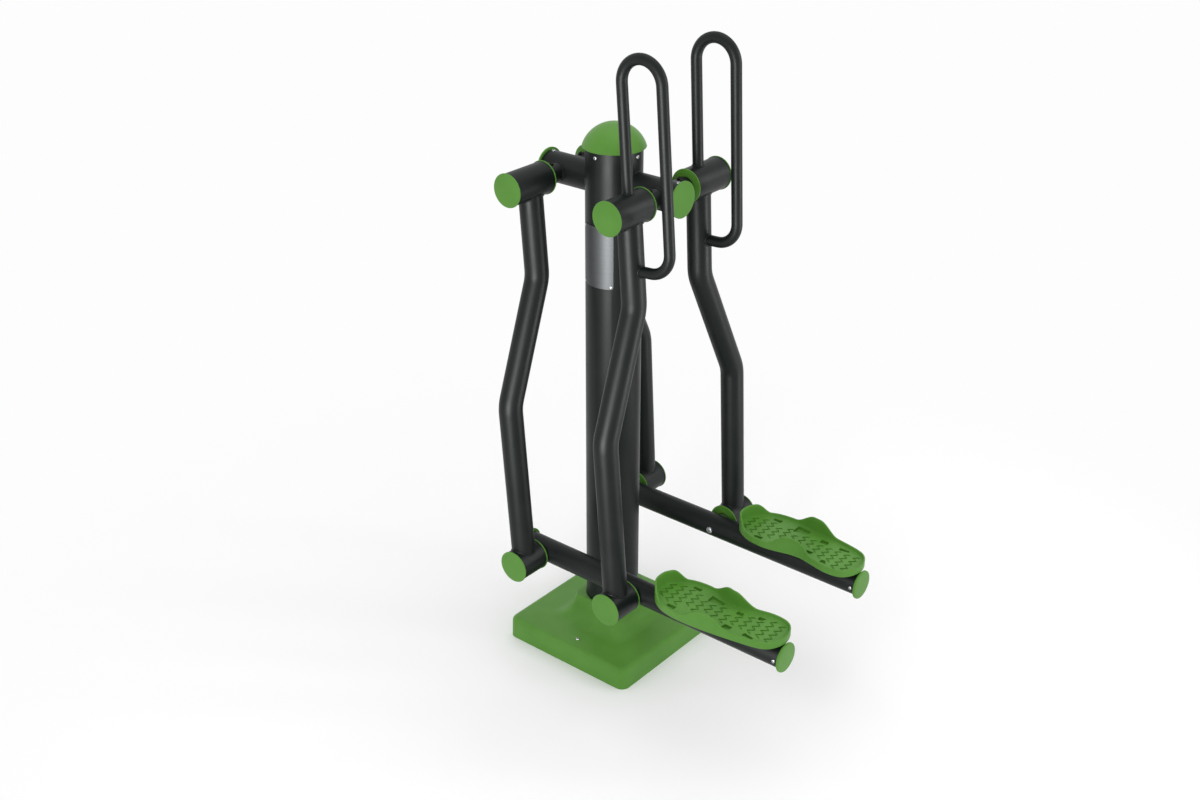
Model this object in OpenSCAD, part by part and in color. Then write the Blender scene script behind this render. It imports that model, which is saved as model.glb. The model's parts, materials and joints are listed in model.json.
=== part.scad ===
// Outdoor air walker: a ground-fixed post with a crossbar, four swinging arms that hang from it in
// pairs, two level beams that the arms carry, a footplate on each beam and a handle on each front arm.
// Frame: millimetres, +Z up, origin on the post's axis at ground level. The user stands on the -Y
// side and faces +Y. The user's left is -X.

/* [Whole machine] */
// Height of the upper pivots above the ground
pivot_height = 1291.5; // [1190:0.5:1360]
// Distance between the front and the rear pivots
pivot_spread = 303; // [280:1:340]
// Length of an arm between its two pivots
arm_length = 970; // [860:1:990]
// Stored lean of the left arms towards the user, in degrees
left_swing = 4.5; // [-10:0.1:10]
// Stored lean of the right arms towards the user, in degrees
right_swing = 3.1; // [-10:0.1:10]

/* [Post] */
// Outer diameter of the post
post_d = 139.7; // [120:0.1:150]
// Wall of the post
post_wall = 4; // [3:0.5:6]
// Height of the post's top edge above the upper pivots
post_rise = 88.5; // [75:0.5:120]

/* [Ground flange] */
// Gap between the flange's edge and the wall of the cover round it
flange_gap = 20; // [12:1:26]
// Thickness of the ground flange
flange_t = 12; // [8:1:20]
// Distance between neighbouring anchor holes
anchor_spacing = 270; // [250:1:280]
// Diameter of an anchor hole
anchor_hole_d = 18; // [12:0.5:24]

/* [Base cover] */
// Side of the square base cover at the ground
cover_w = 403; // [390:1:440]
// Height of the cover's roof outside the coved flank
cover_side_h = 60; // [50:1:70]
// Height of the cover's opening round the post
cover_rim_h = 126; // [110:1:150]
// Corner radius of the cover, seen from above
cover_corner_r = 24; // [20:1:40]
// Wall of the cover
cover_wall = 4; // [3:0.5:6]
// Radial gap between the cover and the post
cover_gap = 0.6; // [0.3:0.1:0.9]
// Least width of the ring at the cover's opening
cover_ring_w = 5; // [4:0.5:8]
// Width of the level roof outside the coved flank
cover_roof_w = 56.5; // [45:0.5:70]
// Radius of the round edge between the cover's sides and its roof
cover_edge_r = 15; // [8:0.5:18]
// Distance of the cover's screws from its sides
cover_screw_inset = 38.5; // [32:0.5:45]

/* [Post cap] */
// How far the cap stands out past the post
dome_lip = 7.7; // [5:0.1:12]
// Height of the cap's dome
dome_h = 58; // [45:0.5:65]
// Wall of the cap
dome_wall = 3; // [2:0.5:5]
// Depth of the cap's skirt inside the post
dome_skirt = 26; // [20:1:32]

/* [Crossbar] */
// Outer diameter of the crossbar
crossbar_d = 76.1; // [70:0.1:84]
// Wall of the crossbar
crossbar_wall = 3.6; // [2.5:0.1:5]
// Length of the crossbar past each pivot
crossbar_overhang = 50.5; // [46:0.5:60]
// Outer diameter of the sleeves that hold the stub axles
sleeve_d = 48.3; // [44:0.1:56]

/* [Arms] */
// Outer diameter of the arm tubes
arm_d = 60.3; // [54:0.1:66]
// Wall of the arm tubes
arm_wall = 3; // [2:0.1:4]
// Distance of the arm's upper part from the middle of the machine
arm_top_x = 133; // [128:0.5:140]
// Distance of the arm's lower part from the middle of the machine
arm_foot_x = 267; // [262:0.5:274]
// Drop from the upper pivot to the first bend
bend_top_drop = 237.5; // [200:0.5:260]
// Drop from the upper pivot to the second bend
bend_foot_drop = 534.5; // [480:0.5:580]
// Centre-line radius of the bends
bend_r = 90; // [70:1:130]

/* [Hubs] */
// Outer diameter of the hubs
hub_d = 80; // [76:0.5:86]
// Distance of the upper hubs' inner faces from the middle
upper_hub_x = 82.5; // [80:0.5:88]
// Length of the upper hubs over their caps
upper_hub_len = 131; // [120:1:140]
// Distance of the lower hubs' inner faces from the middle
lower_hub_x = 223.5; // [222.5:0.5:228]
// Length of the lower hubs over their caps
lower_hub_len = 87; // [82:1:94]
// How far the hub caps stand out past the hubs
hub_cap_lip = 2; // [1:0.5:4]
// Thickness of the hub caps' rims
hub_cap_t = 3; // [2:0.5:4]
// Diameter of the axles at the bearings
axle_d = 30; // [28:0.5:32]
// Outer diameter of the ball bearings
bearing_d = 62; // [56:0.5:66]
// Width of the ball bearings
bearing_w = 16; // [12:0.5:18]

/* [Handles] */
// Outer diameter of the handle tube
handle_d = 26.9; // [22:0.1:32]
// Wall of the handle tube
handle_wall = 2.6; // [2:0.1:4]
// Distance between the handle's two uprights
handle_w = 112; // [105:1:130]
// Height of the handle's top above the upper pivot
handle_rise = 347; // [300:1:400]
// Drop of the handle's lower run below the upper pivot
handle_drop = 143.7; // [125:0.1:160]

/* [Beams] */
// Outer diameter of the beams
beam_d = 60.3; // [54:0.1:66]
// Wall of the beams
beam_wall = 3; // [2:0.1:4]
// Distance of the beams from the middle of the machine
beam_x = 189.5; // [187:0.5:190]
// Length of a beam behind its rear pivot
beam_rear = 47; // [44:0.5:80]
// How far the beam caps stand out past the beams
beam_cap_lip = 7.3; // [3:0.1:9]

/* [Footplates] */
// Length of a footplate
plate_len = 364; // [330:1:370]
// Breadth of a footplate, heel width as drawn by the outline
plate_w = 150; // [140:1:165]
// Distance from the front pivot to the footplate's toe
plate_toe = 81; // [75:1:90]
// Height of a footplate's plain edge over its underside
plate_edge_h = 19; // [16:0.5:22]
// Height of the tread over the underside
plate_floor_h = 12; // [11:0.5:14]
// Height of the toe guard over the underside
plate_toe_h = 45; // [35:0.5:55]
// Height of the side wings over the underside
plate_wing_h = 48; // [35:0.5:60]
// Thickness of the footplate's skin
plate_wall = 5; // [4:0.5:6]
// Height of the bars under a footplate over the beam
bracket_t = 7; // [5:0.5:9]

/* [Hidden] */
$fn = 64;

// Clearances: a seat between fixed pieces, a running fit on an axle, the looser running fit of the
// pivots that close the linkage, and the axial play between pieces that turn against each other
seat_gap = 0.05;
running_gap = 0.05;
closing_gap = 0.3;
axial_play = 0.4;
// Overrun of every cut past the face it opens
cut = 2;

// Colours
green = "#5c9444";
graphite = "#3a3c3d";
steel = "#b9bcbf";

// Places that follow from the sizes
post_r = post_d / 2;
post_top = pivot_height + post_rise;
hub_y = pivot_spread / 2;
hub_r = hub_d / 2;
crossbar_half = hub_y + crossbar_overhang;
beam_front = plate_toe + plate_len;
flange_w = cover_w - 2 * (cover_wall + flange_gap);
cover_screw_x = cover_w / 2 - cover_screw_inset;
cover_screw_y = 13;
bend_angle = atan2(arm_foot_x - arm_top_x, bend_foot_drop - bend_top_drop);
bend_run = bend_r * tan(bend_angle / 2);

// Small parts of the hubs: how deep the first bearing lies, the room kept for the nut at the far
// end, the shoulder that the bearings seat on, and the collar that carries the inner ring
bearing_inset = 6;
nut_room = 20;
shoulder_w = 3;
collar_d = axle_d + 8;
collar_gap = 1;
cap_plug_len = 4;
cap_plug_wall = 3;
thread_d = 24;
thread_end_gap = 3;
nut_flats = 36;
nut_h = 13;
nut_flange_d = 42;
nut_flange_t = 3;
bearing_ring_w = 6;
bearing_recess = 0.8;

// Fasteners
screw_d = 5;
screw_head_d = 9.5;
screw_head_h = 3;
screw_socket_flats = 4;
screw_socket_depth = 1.8;
bolt_d = 8;
bolt_head_d = 13;
bolt_head_h = 5.3;
pivot_bolt_d = 10;
pivot_bolt_head_d = 17.5;
pivot_bolt_head_h = 5;
pivot_bolt_depth = 22;
cap_screw_drop = 13;
end_screw_inset = 11;
end_cap_t = 6;
end_plug_len = 22;
end_edge = 2;

// A pan head with a hex socket on a plain shank, pointing down from its seat at z = 0
module screw(d, head_d, head_h, length, seat_depth = 0) {
    difference() {
        translate([0, 0, -seat_depth]) cylinder(d = head_d, h = head_h + seat_depth);
        translate([0, 0, head_h - screw_socket_depth])
            cylinder(d = screw_socket_flats, h = screw_socket_depth + cut, $fn = 6);
    }
    translate([0, 0, -length]) cylinder(d = d, h = length);
}

// A closing cap for a tube's end, with its face towards +Z and its plug inside the tube
module end_cap(tube_d, wall, lip) {
    rim_r = tube_d / 2 + lip;
    plug_r = tube_d / 2 - wall - seat_gap;
    rotate_extrude() polygon([[0, 0], [plug_r - cap_plug_wall, 0],
        [plug_r - cap_plug_wall, -end_plug_len], [plug_r, -end_plug_len], [plug_r, 0], [rim_r, 0],
        [rim_r, end_cap_t - end_edge], [rim_r - end_edge, end_cap_t], [0, end_cap_t]]);
}

// Puts a piece that is drawn for the right-hand side on either side
module on_side(side) {
    mirror([side == "left" ? 1 : 0, 0, 0]) children();
}

// Puts a piece that is drawn round an arm's upper pivot where the arm hangs
module on_arm(side, end) {
    translate([0, end == "front" ? -hub_y : hub_y, pivot_height])
        rotate([side == "left" ? -left_swing : -right_swing, 0, 0])
            on_side(side) children();
}

// Puts a piece that is drawn round a front lower pivot on its beam, which stays level
module on_beam(side) {
    swing = side == "left" ? left_swing : right_swing;
    translate([0, -hub_y - arm_length * sin(swing), pivot_height - arm_length * cos(swing)])
        on_side(side) children();
}

// The ground flange: a square plate with the post's foot on it and four anchor holes
module ground_flange() {
    color(graphite) difference() {
        translate([-flange_w / 2, -flange_w / 2, 0]) cube([flange_w, flange_w, flange_t]);
        for (x = [-1, 1], y = [-1, 1])
            translate([x * anchor_spacing / 2, y * anchor_spacing / 2, -cut])
                cylinder(d = anchor_hole_d, h = flange_t + 2 * cut);
        for (a = [0, 180])
            rotate(a) translate([cover_screw_x, cover_screw_y, -cut])
                cylinder(d = screw_d + 2 * seat_gap, h = flange_t + 2 * cut);
    }
}

// The post: a tube with a hole for the crossbar on both sides and one for each screw and rivet
module post() {
    color(graphite) difference() {
        translate([0, 0, flange_t]) cylinder(d = post_d, h = post_top - flange_t);
        translate([0, 0, flange_t - cut])
            cylinder(d = post_d - 2 * post_wall, h = post_top - flange_t + 2 * cut);
        translate([0, 0, pivot_height]) rotate([90, 0, 0])
            cylinder(d = crossbar_d + 2 * seat_gap, h = post_d + 2 * cut, center = true);
        for (a = [0 : 90 : 270])
            translate([0, 0, post_top - cap_screw_drop]) rotate([0, 90, a])
                cylinder(d = screw_d + 2 * seat_gap, h = post_d);
        translate([0, 0, info_z]) rivet_places() cylinder(d = rivet_d + 2 * seat_gap, h = post_d);
    }
}

// The cover's skin outside, from the ground up to the ring round the post: how far each row lies
// inside the outline and how high, as shares of the coved flank, and then as plain sizes
flank_shares = [[1, 1], [0.97, 0.90], [0.91, 0.71], [0.84, 0.51], [0.75, 0.34], [0.62, 0.19],
    [0.44, 0.08], [0.22, 0.02], [0, 0]];
side_draft = 1;
ring_corner_r = 22;
corner_steps = 6;
edge_steps = 5;
ring_edge = 2;
cover_bore_r = post_r + cover_gap;
ring_half = cover_bore_r + cover_ring_w;
flank_w = cover_w / 2 - side_draft - cover_edge_r - cover_roof_w - ring_half;

// One row of the skin: a square ring with round corners, its half side, corner radius and height
function square_ring(half, r, z) =
    [for (a = [0 : 90 : 270], k = [0 : corner_steps]) let (t = a + 90 * k / corner_steps)
        [(half - r) * round_sign(cos(a + 45)) + r * cos(t),
         (half - r) * round_sign(sin(a + 45)) + r * sin(t), z]];
function round_sign(x) = x > 0 ? 1 : -1;

// Corner radius that goes with a half side, between the ring round the post and the ground
function corner_at(half) =
    let (t = (half - ring_half) / (cover_w / 2 - ring_half))
    ring_corner_r + (cover_corner_r - ring_corner_r) * t;

// The rows of the cover's skin, drawn thinner by an inset, from the ground to the ring's inside
function cover_rows(inset) = concat(
    [square_ring(cover_w / 2 - inset, cover_corner_r - inset, inset > 0 ? -cut : 0)],
    [for (k = [0 : edge_steps]) let (r = cover_edge_r - inset, a = 90 * k / edge_steps)
        square_ring(cover_w / 2 - side_draft - cover_edge_r + r * cos(a),
            cover_corner_r - cover_edge_r + r * cos(a), cover_side_h - cover_edge_r + r * sin(a))],
    [for (i = [len(flank_shares) - 1 : -1 : 0]) let (half = ring_half + flank_w * (1 - flank_shares[i][0]))
        square_ring(half - inset, corner_at(half) - inset,
            cover_side_h + (cover_rim_h - ring_edge - cover_side_h) * flank_shares[i][1] - inset)],
    [square_ring(ring_half - ring_edge - inset, ring_corner_r - ring_edge, cover_rim_h - inset)]);

// A closed solid through rings of points, the first one at its bottom and the last one at its top
module loft(rings) {
    n = len(rings[0]);
    rows = len(rings);
    walls = [for (k = [0 : rows - 2], i = [0 : n - 1])
        let (j = (i + 1) % n, a = k * n, b = a + n)
        each [[a + i, b + j, a + j], [a + i, b + i, b + j]]];
    polyhedron(points = [for (ring = rings, q = ring) q], faces = concat(walls,
        [[for (i = [0 : n - 1]) i]], [[for (i = [n - 1 : -1 : 0]) (rows - 1) * n + i]]));
}

// The base cover: a moulded shell over the flange that rises in a cove to the post
module base_cover() {
    color(green) difference() {
        loft(cover_rows(0));
        loft(cover_rows(cover_wall));
        translate([0, 0, cover_side_h]) cylinder(r = cover_bore_r, h = cover_rim_h);
        for (a = [0, 180])
            rotate(a) translate([cover_screw_x, cover_screw_y, 0])
                cylinder(d = screw_d + 2 * seat_gap, h = cover_rim_h);
    }
    color(green) for (a = [0, 180])
        rotate(a) translate([cover_screw_x, cover_screw_y, flange_t]) cover_pillar();
}

// A pillar under the cover's roof that its screw passes through, down to the flange
pillar_d = 12;
module cover_pillar() {
    difference() {
        cylinder(d = pillar_d, h = cover_side_h - cover_wall - flange_t);
        translate([0, 0, -cut]) cylinder(d = screw_d + 2 * seat_gap, h = cover_side_h);
    }
}

module base_cover_screws() {
    color(steel) for (a = [0, 180])
        rotate(a) translate([cover_screw_x, cover_screw_y, cover_side_h])
            screw(screw_d, screw_head_d, screw_head_h, cover_side_h - flange_t / 2);
}

// The post cap: a shallow dome with a seat on the post's edge and a skirt inside the post
dome_r = post_r + dome_lip;
dome_ball_r = (dome_r * dome_r + dome_h * dome_h) / (2 * dome_h);
module post_cap() {
    skirt_r = post_r - post_wall - seat_gap;
    color(green) difference() {
        union() {
            intersection() {
                translate([0, 0, post_top + dome_h - dome_ball_r]) sphere(r = dome_ball_r);
                translate([0, 0, post_top]) cylinder(r = dome_r, h = dome_h + cut);
            }
            translate([0, 0, post_top - dome_skirt]) cylinder(r = skirt_r, h = dome_skirt + cut);
        }
        intersection() {
            translate([0, 0, post_top + dome_h - dome_ball_r]) sphere(r = dome_ball_r - dome_wall);
            translate([0, 0, post_top + dome_wall]) cylinder(r = dome_r, h = dome_h);
        }
        translate([0, 0, post_top - dome_skirt - cut])
            cylinder(r = skirt_r - dome_wall, h = dome_skirt + dome_wall + 2 * cut);
        for (a = [0 : 90 : 270])
            translate([0, 0, post_top - cap_screw_drop]) rotate([0, 90, a])
                cylinder(d = screw_d + 2 * seat_gap, h = post_d);
    }
}

module post_cap_screws() {
    for (a = [0 : 90 : 270])
        translate([0, 0, post_top - cap_screw_drop]) rotate([90, 0, a])
            tube_screw(post_d, post_wall);
}

// How far a screw's head reaches down round a tube of radius r
function screw_seat(r) = r - sqrt(r * r - screw_head_d * screw_head_d / 4);

// The crossbar: a tube through the post with a cross hole for each axle sleeve
module crossbar() {
    color(graphite) translate([0, 0, pivot_height]) difference() {
        rotate([90, 0, 0]) cylinder(d = crossbar_d, h = 2 * crossbar_half, center = true);
        rotate([90, 0, 0])
            cylinder(d = crossbar_d - 2 * crossbar_wall, h = 2 * crossbar_half + cut, center = true);
        for (y = [-hub_y, hub_y])
            translate([0, y, 0]) rotate([0, 90, 0])
                cylinder(d = sleeve_d + 2 * seat_gap, h = crossbar_d + cut, center = true);
        for (y = [-1, 1])
            translate([0, y * (crossbar_half - end_screw_inset), 0])
                cylinder(d = screw_d + 2 * seat_gap, h = crossbar_d);
    }
}

module crossbar_cap(end) {
    color(green) difference() {
        translate([0, end * crossbar_half, pivot_height]) rotate([-end * 90, 0, 0])
            end_cap(crossbar_d, crossbar_wall, crossbar_cap_lip);
        translate([0, end * (crossbar_half - end_screw_inset), pivot_height])
            cylinder(d = screw_d + 2 * seat_gap, h = crossbar_d);
    }
}
crossbar_cap_lip = 6.4;

// A screw on a tube's outside, its head saddled on the tube: the tube runs along Y at the origin
module tube_screw(tube_d, wall) {
    color(steel) difference() {
        translate([0, 0, tube_d / 2])
            screw(screw_d, screw_head_d, screw_head_h, 0, screw_seat(tube_d / 2));
        rotate([90, 0, 0]) cylinder(d = tube_d, h = 2 * screw_head_d, center = true);
    }
    color(steel) translate([0, 0, tube_d / 2 - wall - cap_plug_wall])
        cylinder(d = screw_d, h = wall + cap_plug_wall + screw_seat(tube_d / 2));
}

module crossbar_cap_screws() {
    for (y = [-1, 1])
        translate([0, y * (crossbar_half - end_screw_inset), pivot_height])
            tube_screw(crossbar_d, crossbar_wall);
}

// The two sleeves across the crossbar that hold the stub axles: how far they end short of the hubs'
// caps, and how far the lock bolts stand inwards of the middle of what shows of a sleeve
sleeve_short = 2;
lock_bolt_shift = 3;
sleeve_half = upper_hub_x - sleeve_short;
lock_bolt_x = (crossbar_d / 2 + sleeve_half) / 2 - lock_bolt_shift;
module axle_sleeves() {
    color(graphite) for (y = [-hub_y, hub_y])
        translate([0, y, pivot_height]) difference() {
            rotate([0, 90, 0]) cylinder(d = sleeve_d, h = 2 * sleeve_half, center = true);
            rotate([0, 90, 0])
                cylinder(d = axle_d + 2 * seat_gap, h = 2 * sleeve_half + cut, center = true);
            for (x = [-1, 1])
                translate([x * lock_bolt_x, 0, 0])
                    cylinder(d = bolt_d + 2 * seat_gap, h = sleeve_d);
        }
}

// An axle from its inner end to its nut, with the collar that the first bearing runs against:
// inner is where it starts, face is where the collar starts, hub_x and len are the hub's place
module axle(inner, face, hub_x, len) {
    journal_end = hub_x + second_bearing(len) + bearing_w;
    translate([inner, 0, 0]) rotate([0, 90, 0]) cylinder(d = axle_d, h = journal_end - inner);
    translate([journal_end, 0, 0]) rotate([0, 90, 0])
        cylinder(d = thread_d, h = nut_room - thread_end_gap);
    translate([face, 0, 0]) rotate([0, 90, 0])
        cylinder(d = collar_d, h = hub_x + hub_cap_t + bearing_inset - axial_play - face);
}

// Four stub axles: each is held in its sleeve by a lock bolt and carries one upper hub
stub_axle_start = crossbar_d / 4;
module stub_axles() {
    color(steel) for (side = ["left", "right"], y = [-hub_y, hub_y])
        translate([0, y, pivot_height]) on_side(side) difference() {
            axle(stub_axle_start, sleeve_half, upper_hub_x, upper_hub_len);
            translate([lock_bolt_x, 0, axle_d / 2 - bolt_d / 2])
                cylinder(d = bolt_d + 2 * seat_gap, h = axle_d);
        }
}

module axle_lock_bolts() {
    seat = sleeve_d / 2 - sqrt(sleeve_d * sleeve_d - bolt_head_d * bolt_head_d) / 2;
    color(graphite) for (x = [-1, 1], y = [-hub_y, hub_y])
        translate([x * lock_bolt_x, y, pivot_height]) {
            difference() {
                translate([0, 0, sleeve_d / 2]) screw(bolt_d, bolt_head_d, bolt_head_h, 0, seat);
                rotate([0, 90, 0]) cylinder(d = sleeve_d, h = 2 * bolt_head_d, center = true);
            }
            translate([0, 0, axle_d / 2 - bolt_d / 2])
                cylinder(d = bolt_d, h = (sleeve_d - axle_d + bolt_d) / 2 + seat);
        }
}

// A flanged nut on an axle's outer end
module axle_nut(hub_x, len) {
    translate([hub_x + len - hub_cap_t - nut_room + axial_play, 0, 0]) rotate([0, 90, 0])
        difference() {
            union() {
                cylinder(d = nut_flange_d, h = nut_flange_t);
                cylinder(d = nut_flats / cos(30), h = nut_h, $fn = 6);
            }
            translate([0, 0, -cut]) cylinder(d = thread_d + 2 * seat_gap, h = nut_h + 2 * cut);
        }
}

module axle_nuts() {
    color(steel) for (side = ["left", "right"], y = [-hub_y, hub_y])
        translate([0, y, pivot_height]) on_side(side) axle_nut(upper_hub_x, upper_hub_len);
}

// The tube between a hub's two bearings that spaces their inner rings
function second_bearing(len) = len - hub_cap_t - nut_room - bearing_w;
first_bearing = hub_cap_t + bearing_inset;
module bearing_spacer(hub_x, len) {
    from = first_bearing + bearing_w + axial_play;
    translate([hub_x + from, 0, 0]) rotate([0, 90, 0]) difference() {
        cylinder(d = collar_d, h = second_bearing(len) - axial_play - from);
        translate([0, 0, -cut]) cylinder(d = axle_d + 2 * seat_gap, h = len);
    }
}

module bearing_spacers() {
    color(steel) for (side = ["left", "right"], y = [-hub_y, hub_y])
        translate([0, y, pivot_height]) on_side(side) bearing_spacer(upper_hub_x, upper_hub_len);
}

// The bare information plate: thin sheet bent round the post, and its four rivets
info_h = 156;
info_top_drop = 94.5;
info_z = pivot_height - info_top_drop - info_h;
info_angle = 77;
info_t = 1;
rivet_d = 4;
rivet_h = 1.2;
rivet_head_d = 6.4;
rivet_inset = 6;
module info_plate() {
    color(steel) translate([0, 0, info_z]) difference() {
        rotate(180 - info_angle / 2) rotate_extrude(angle = info_angle)
            translate([post_r + seat_gap, 0]) square([info_t, info_h]);
        rivet_places() translate([0, 0, post_r - cut]) cylinder(d = rivet_d + 2 * seat_gap, h = 3 * cut);
    }
}

module rivet_places() {
    turn = rivet_inset / post_r * 180 / PI;
    for (a = [-1, 1], z = [rivet_inset, info_h - rivet_inset])
        translate([0, 0, z]) rotate([0, 90, 180 + a * (info_angle / 2 - turn)]) children();
}

module info_plate_rivets() {
    color(steel) translate([0, 0, info_z]) rivet_places() {
        translate([0, 0, post_r - post_wall - rivet_h])
            cylinder(d = rivet_d, h = post_wall + info_t + 2 * rivet_h);
        translate([0, 0, post_r + info_t + 2 * seat_gap]) cylinder(d = rivet_head_d, h = rivet_h);
    }
}

// One bend of an arm tube of radius r: the lower left part of a ring about the Y axis, from the
// level plane down through the bend's angle
module bend(r) {
    intersection() {
        rotate([90, 0, 0]) rotate_extrude() translate([bend_r, 0]) circle(r);
        translate([-2 * bend_r, -bend_r, -2 * bend_r]) cube([2 * bend_r, 2 * bend_r, 2 * bend_r]);
        rotate([0, -bend_angle, 0])
            translate([-2 * bend_r, -bend_r, 0]) cube([2 * bend_r, 2 * bend_r, 2 * bend_r]);
    }
}

// The solid path of an arm tube of radius r, from its upper to its lower pivot
module arm_path(r) {
    slope = norm([arm_foot_x - arm_top_x, bend_foot_drop - bend_top_drop]) - 2 * bend_run;
    foot = arm_length - bend_foot_drop - bend_run;
    translate([arm_top_x, 0, bend_run - bend_top_drop]) cylinder(r = r, h = bend_top_drop - bend_run);
    translate([arm_top_x + bend_r, 0, bend_run - bend_top_drop]) {
        bend(r);
        rotate([0, -bend_angle, 0]) {
            translate([-bend_r, 0, -slope]) cylinder(r = r, h = slope);
            translate([-2 * bend_r, 0, -slope]) rotate([0, bend_angle, 0]) {
                rotate([0, 180, 0]) bend(r);
                translate([bend_r, 0, -foot]) cylinder(r = r, h = foot);
            }
        }
    }
}

// One arm tube: bent outwards between the hubs and coped round both of them
module arm_tube(side, end) {
    color(graphite) on_arm(side, end) difference() {
        arm_path(arm_d / 2);
        arm_path(arm_d / 2 - arm_wall);
        rotate([0, 90, 0]) cylinder(r = hub_r, h = upper_hub_x + upper_hub_len);
        translate([0, 0, -arm_length]) rotate([0, 90, 0])
            cylinder(r = hub_r, h = lower_hub_x + lower_hub_len);
    }
}

// A hub: a thick tube along X with a seat for a bearing at each end
module hub(hub_x, len) {
    translate([hub_x + hub_cap_t, 0, 0]) rotate([0, 90, 0]) difference() {
        cylinder(d = hub_d, h = len - 2 * hub_cap_t);
        translate([0, 0, -cut])
            cylinder(d = bearing_d - 2 * shoulder_w, h = len);
        translate([0, 0, -cut]) cylinder(d = bearing_d, h = bearing_inset + bearing_w + cut);
        translate([0, 0, second_bearing(len) - hub_cap_t]) cylinder(d = bearing_d, h = len);
    }
}

module upper_hub(side, end) {
    color(graphite) on_arm(side, end) hub(upper_hub_x, upper_hub_len);
}

module lower_hub(side, end) {
    color(graphite) on_arm(side, end) translate([0, 0, -arm_length]) hub(lower_hub_x, lower_hub_len);
}

// The two plastic caps of one hub: the inner one lets the axle's collar through
module hub_cap_pair(hub_x, len) {
    rim_r = hub_r + hub_cap_lip;
    plug_r = bearing_d / 2 - seat_gap;
    edge = hub_cap_t / 2;
    translate([hub_x, 0, 0]) rotate([0, 90, 0]) rotate_extrude()
        polygon([[collar_d / 2 + collar_gap, 0], [rim_r - edge, 0], [rim_r, edge], [rim_r, hub_cap_t],
            [plug_r, hub_cap_t], [plug_r, hub_cap_t + cap_plug_len],
            [plug_r - cap_plug_wall, hub_cap_t + cap_plug_len], [plug_r - cap_plug_wall, hub_cap_t],
            [collar_d / 2 + collar_gap, hub_cap_t]]);
    translate([hub_x + len, 0, 0]) rotate([0, -90, 0]) rotate_extrude()
        polygon([[0, 0], [rim_r - edge, 0], [rim_r, edge], [rim_r, hub_cap_t],
            [plug_r, hub_cap_t], [plug_r, hub_cap_t + cap_plug_len],
            [plug_r - cap_plug_wall, hub_cap_t + cap_plug_len], [plug_r - cap_plug_wall, hub_cap_t],
            [0, hub_cap_t]]);
}

module hub_caps(side, end) {
    color(green) on_arm(side, end) {
        hub_cap_pair(upper_hub_x, upper_hub_len);
        translate([0, 0, -arm_length]) hub_cap_pair(lower_hub_x, lower_hub_len);
    }
}

// A sealed ball bearing with its axis along X: two rings with the seals set back between them
module bearing(x, gap) {
    bore_r = axle_d / 2 + gap;
    outer_r = bearing_d / 2 - seat_gap;
    in_r = bore_r + (outer_r - bore_r) / 3;
    out_r = outer_r - (outer_r - bore_r) / 3;
    translate([x, 0, 0]) rotate([0, 90, 0]) rotate_extrude()
        polygon([[bore_r, 0], [in_r, 0], [in_r, bearing_recess], [out_r, bearing_recess], [out_r, 0],
            [outer_r, 0], [outer_r, bearing_w], [out_r, bearing_w],
            [out_r, bearing_w - bearing_recess], [in_r, bearing_w - bearing_recess],
            [in_r, bearing_w], [bore_r, bearing_w]]);
}

// The four bearings of one arm: the rear arm's lower pair runs looser, as it closes the linkage
module bearings(side, end) {
    color(steel) on_arm(side, end) {
        for (x = [first_bearing, second_bearing(upper_hub_len)])
            bearing(upper_hub_x + x, running_gap);
        translate([0, 0, -arm_length]) for (x = [first_bearing, second_bearing(lower_hub_len)])
            bearing(lower_hub_x + x, end == "rear" ? closing_gap : running_gap);
    }
}

// The solid path of a handle tube of radius r: up from the hub, over, down and back to the arm
module handle_path(r) {
    turn_r = handle_w / 2;
    translate([arm_top_x, 0, 0]) cylinder(r = r, h = handle_rise - turn_r);
    translate([arm_top_x, -turn_r, handle_rise - turn_r]) rotate([90, 0, 90])
        rotate_extrude(angle = 180) translate([turn_r, 0]) circle(r);
    translate([arm_top_x, -handle_w, -handle_drop + turn_r])
        cylinder(r = r, h = handle_rise + handle_drop - 2 * turn_r);
    translate([arm_top_x, -turn_r, -handle_drop + turn_r]) rotate([90, 0, 90])
        rotate(180) rotate_extrude(angle = 90) translate([turn_r, 0]) circle(r);
    translate([arm_top_x, 0, -handle_drop]) rotate([90, 0, 0]) cylinder(r = r, h = turn_r);
}

module handle(side) {
    color(graphite) on_arm(side, "front") difference() {
        handle_path(handle_d / 2);
        handle_path(handle_d / 2 - handle_wall);
        rotate([0, 90, 0]) cylinder(r = hub_r, h = upper_hub_x + upper_hub_len);
        translate([arm_top_x, 0, -bend_top_drop]) cylinder(d = arm_d, h = bend_top_drop);
    }
}

// A beam: a level tube with a hole for each pivot axle and each screw that it takes
beam_end_screws = [-beam_front + end_screw_inset, pivot_spread + beam_rear - end_screw_inset];
module beam(side) {
    color(graphite) on_beam(side) translate([beam_x, 0, 0]) difference() {
        translate([0, pivot_spread + beam_rear, 0]) rotate([90, 0, 0])
            cylinder(d = beam_d, h = beam_front + pivot_spread + beam_rear);
        translate([0, pivot_spread + beam_rear + cut, 0]) rotate([90, 0, 0])
            cylinder(d = beam_d - 2 * beam_wall, h = beam_front + pivot_spread + beam_rear + 2 * cut);
        for (y = [0, pivot_spread]) translate([0, y, 0]) {
            rotate([0, 90, 0]) cylinder(d = axle_d + 2 * seat_gap, h = beam_d);
            rotate([0, -90, 0]) cylinder(d = pivot_bolt_d + 2 * seat_gap, h = beam_d);
        }
        for (y = beam_end_screws) translate([0, y, 0]) rotate([0, 90, 0])
            cylinder(d = screw_d + 2 * seat_gap, h = 2 * beam_d, center = true);
    }
}

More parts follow.
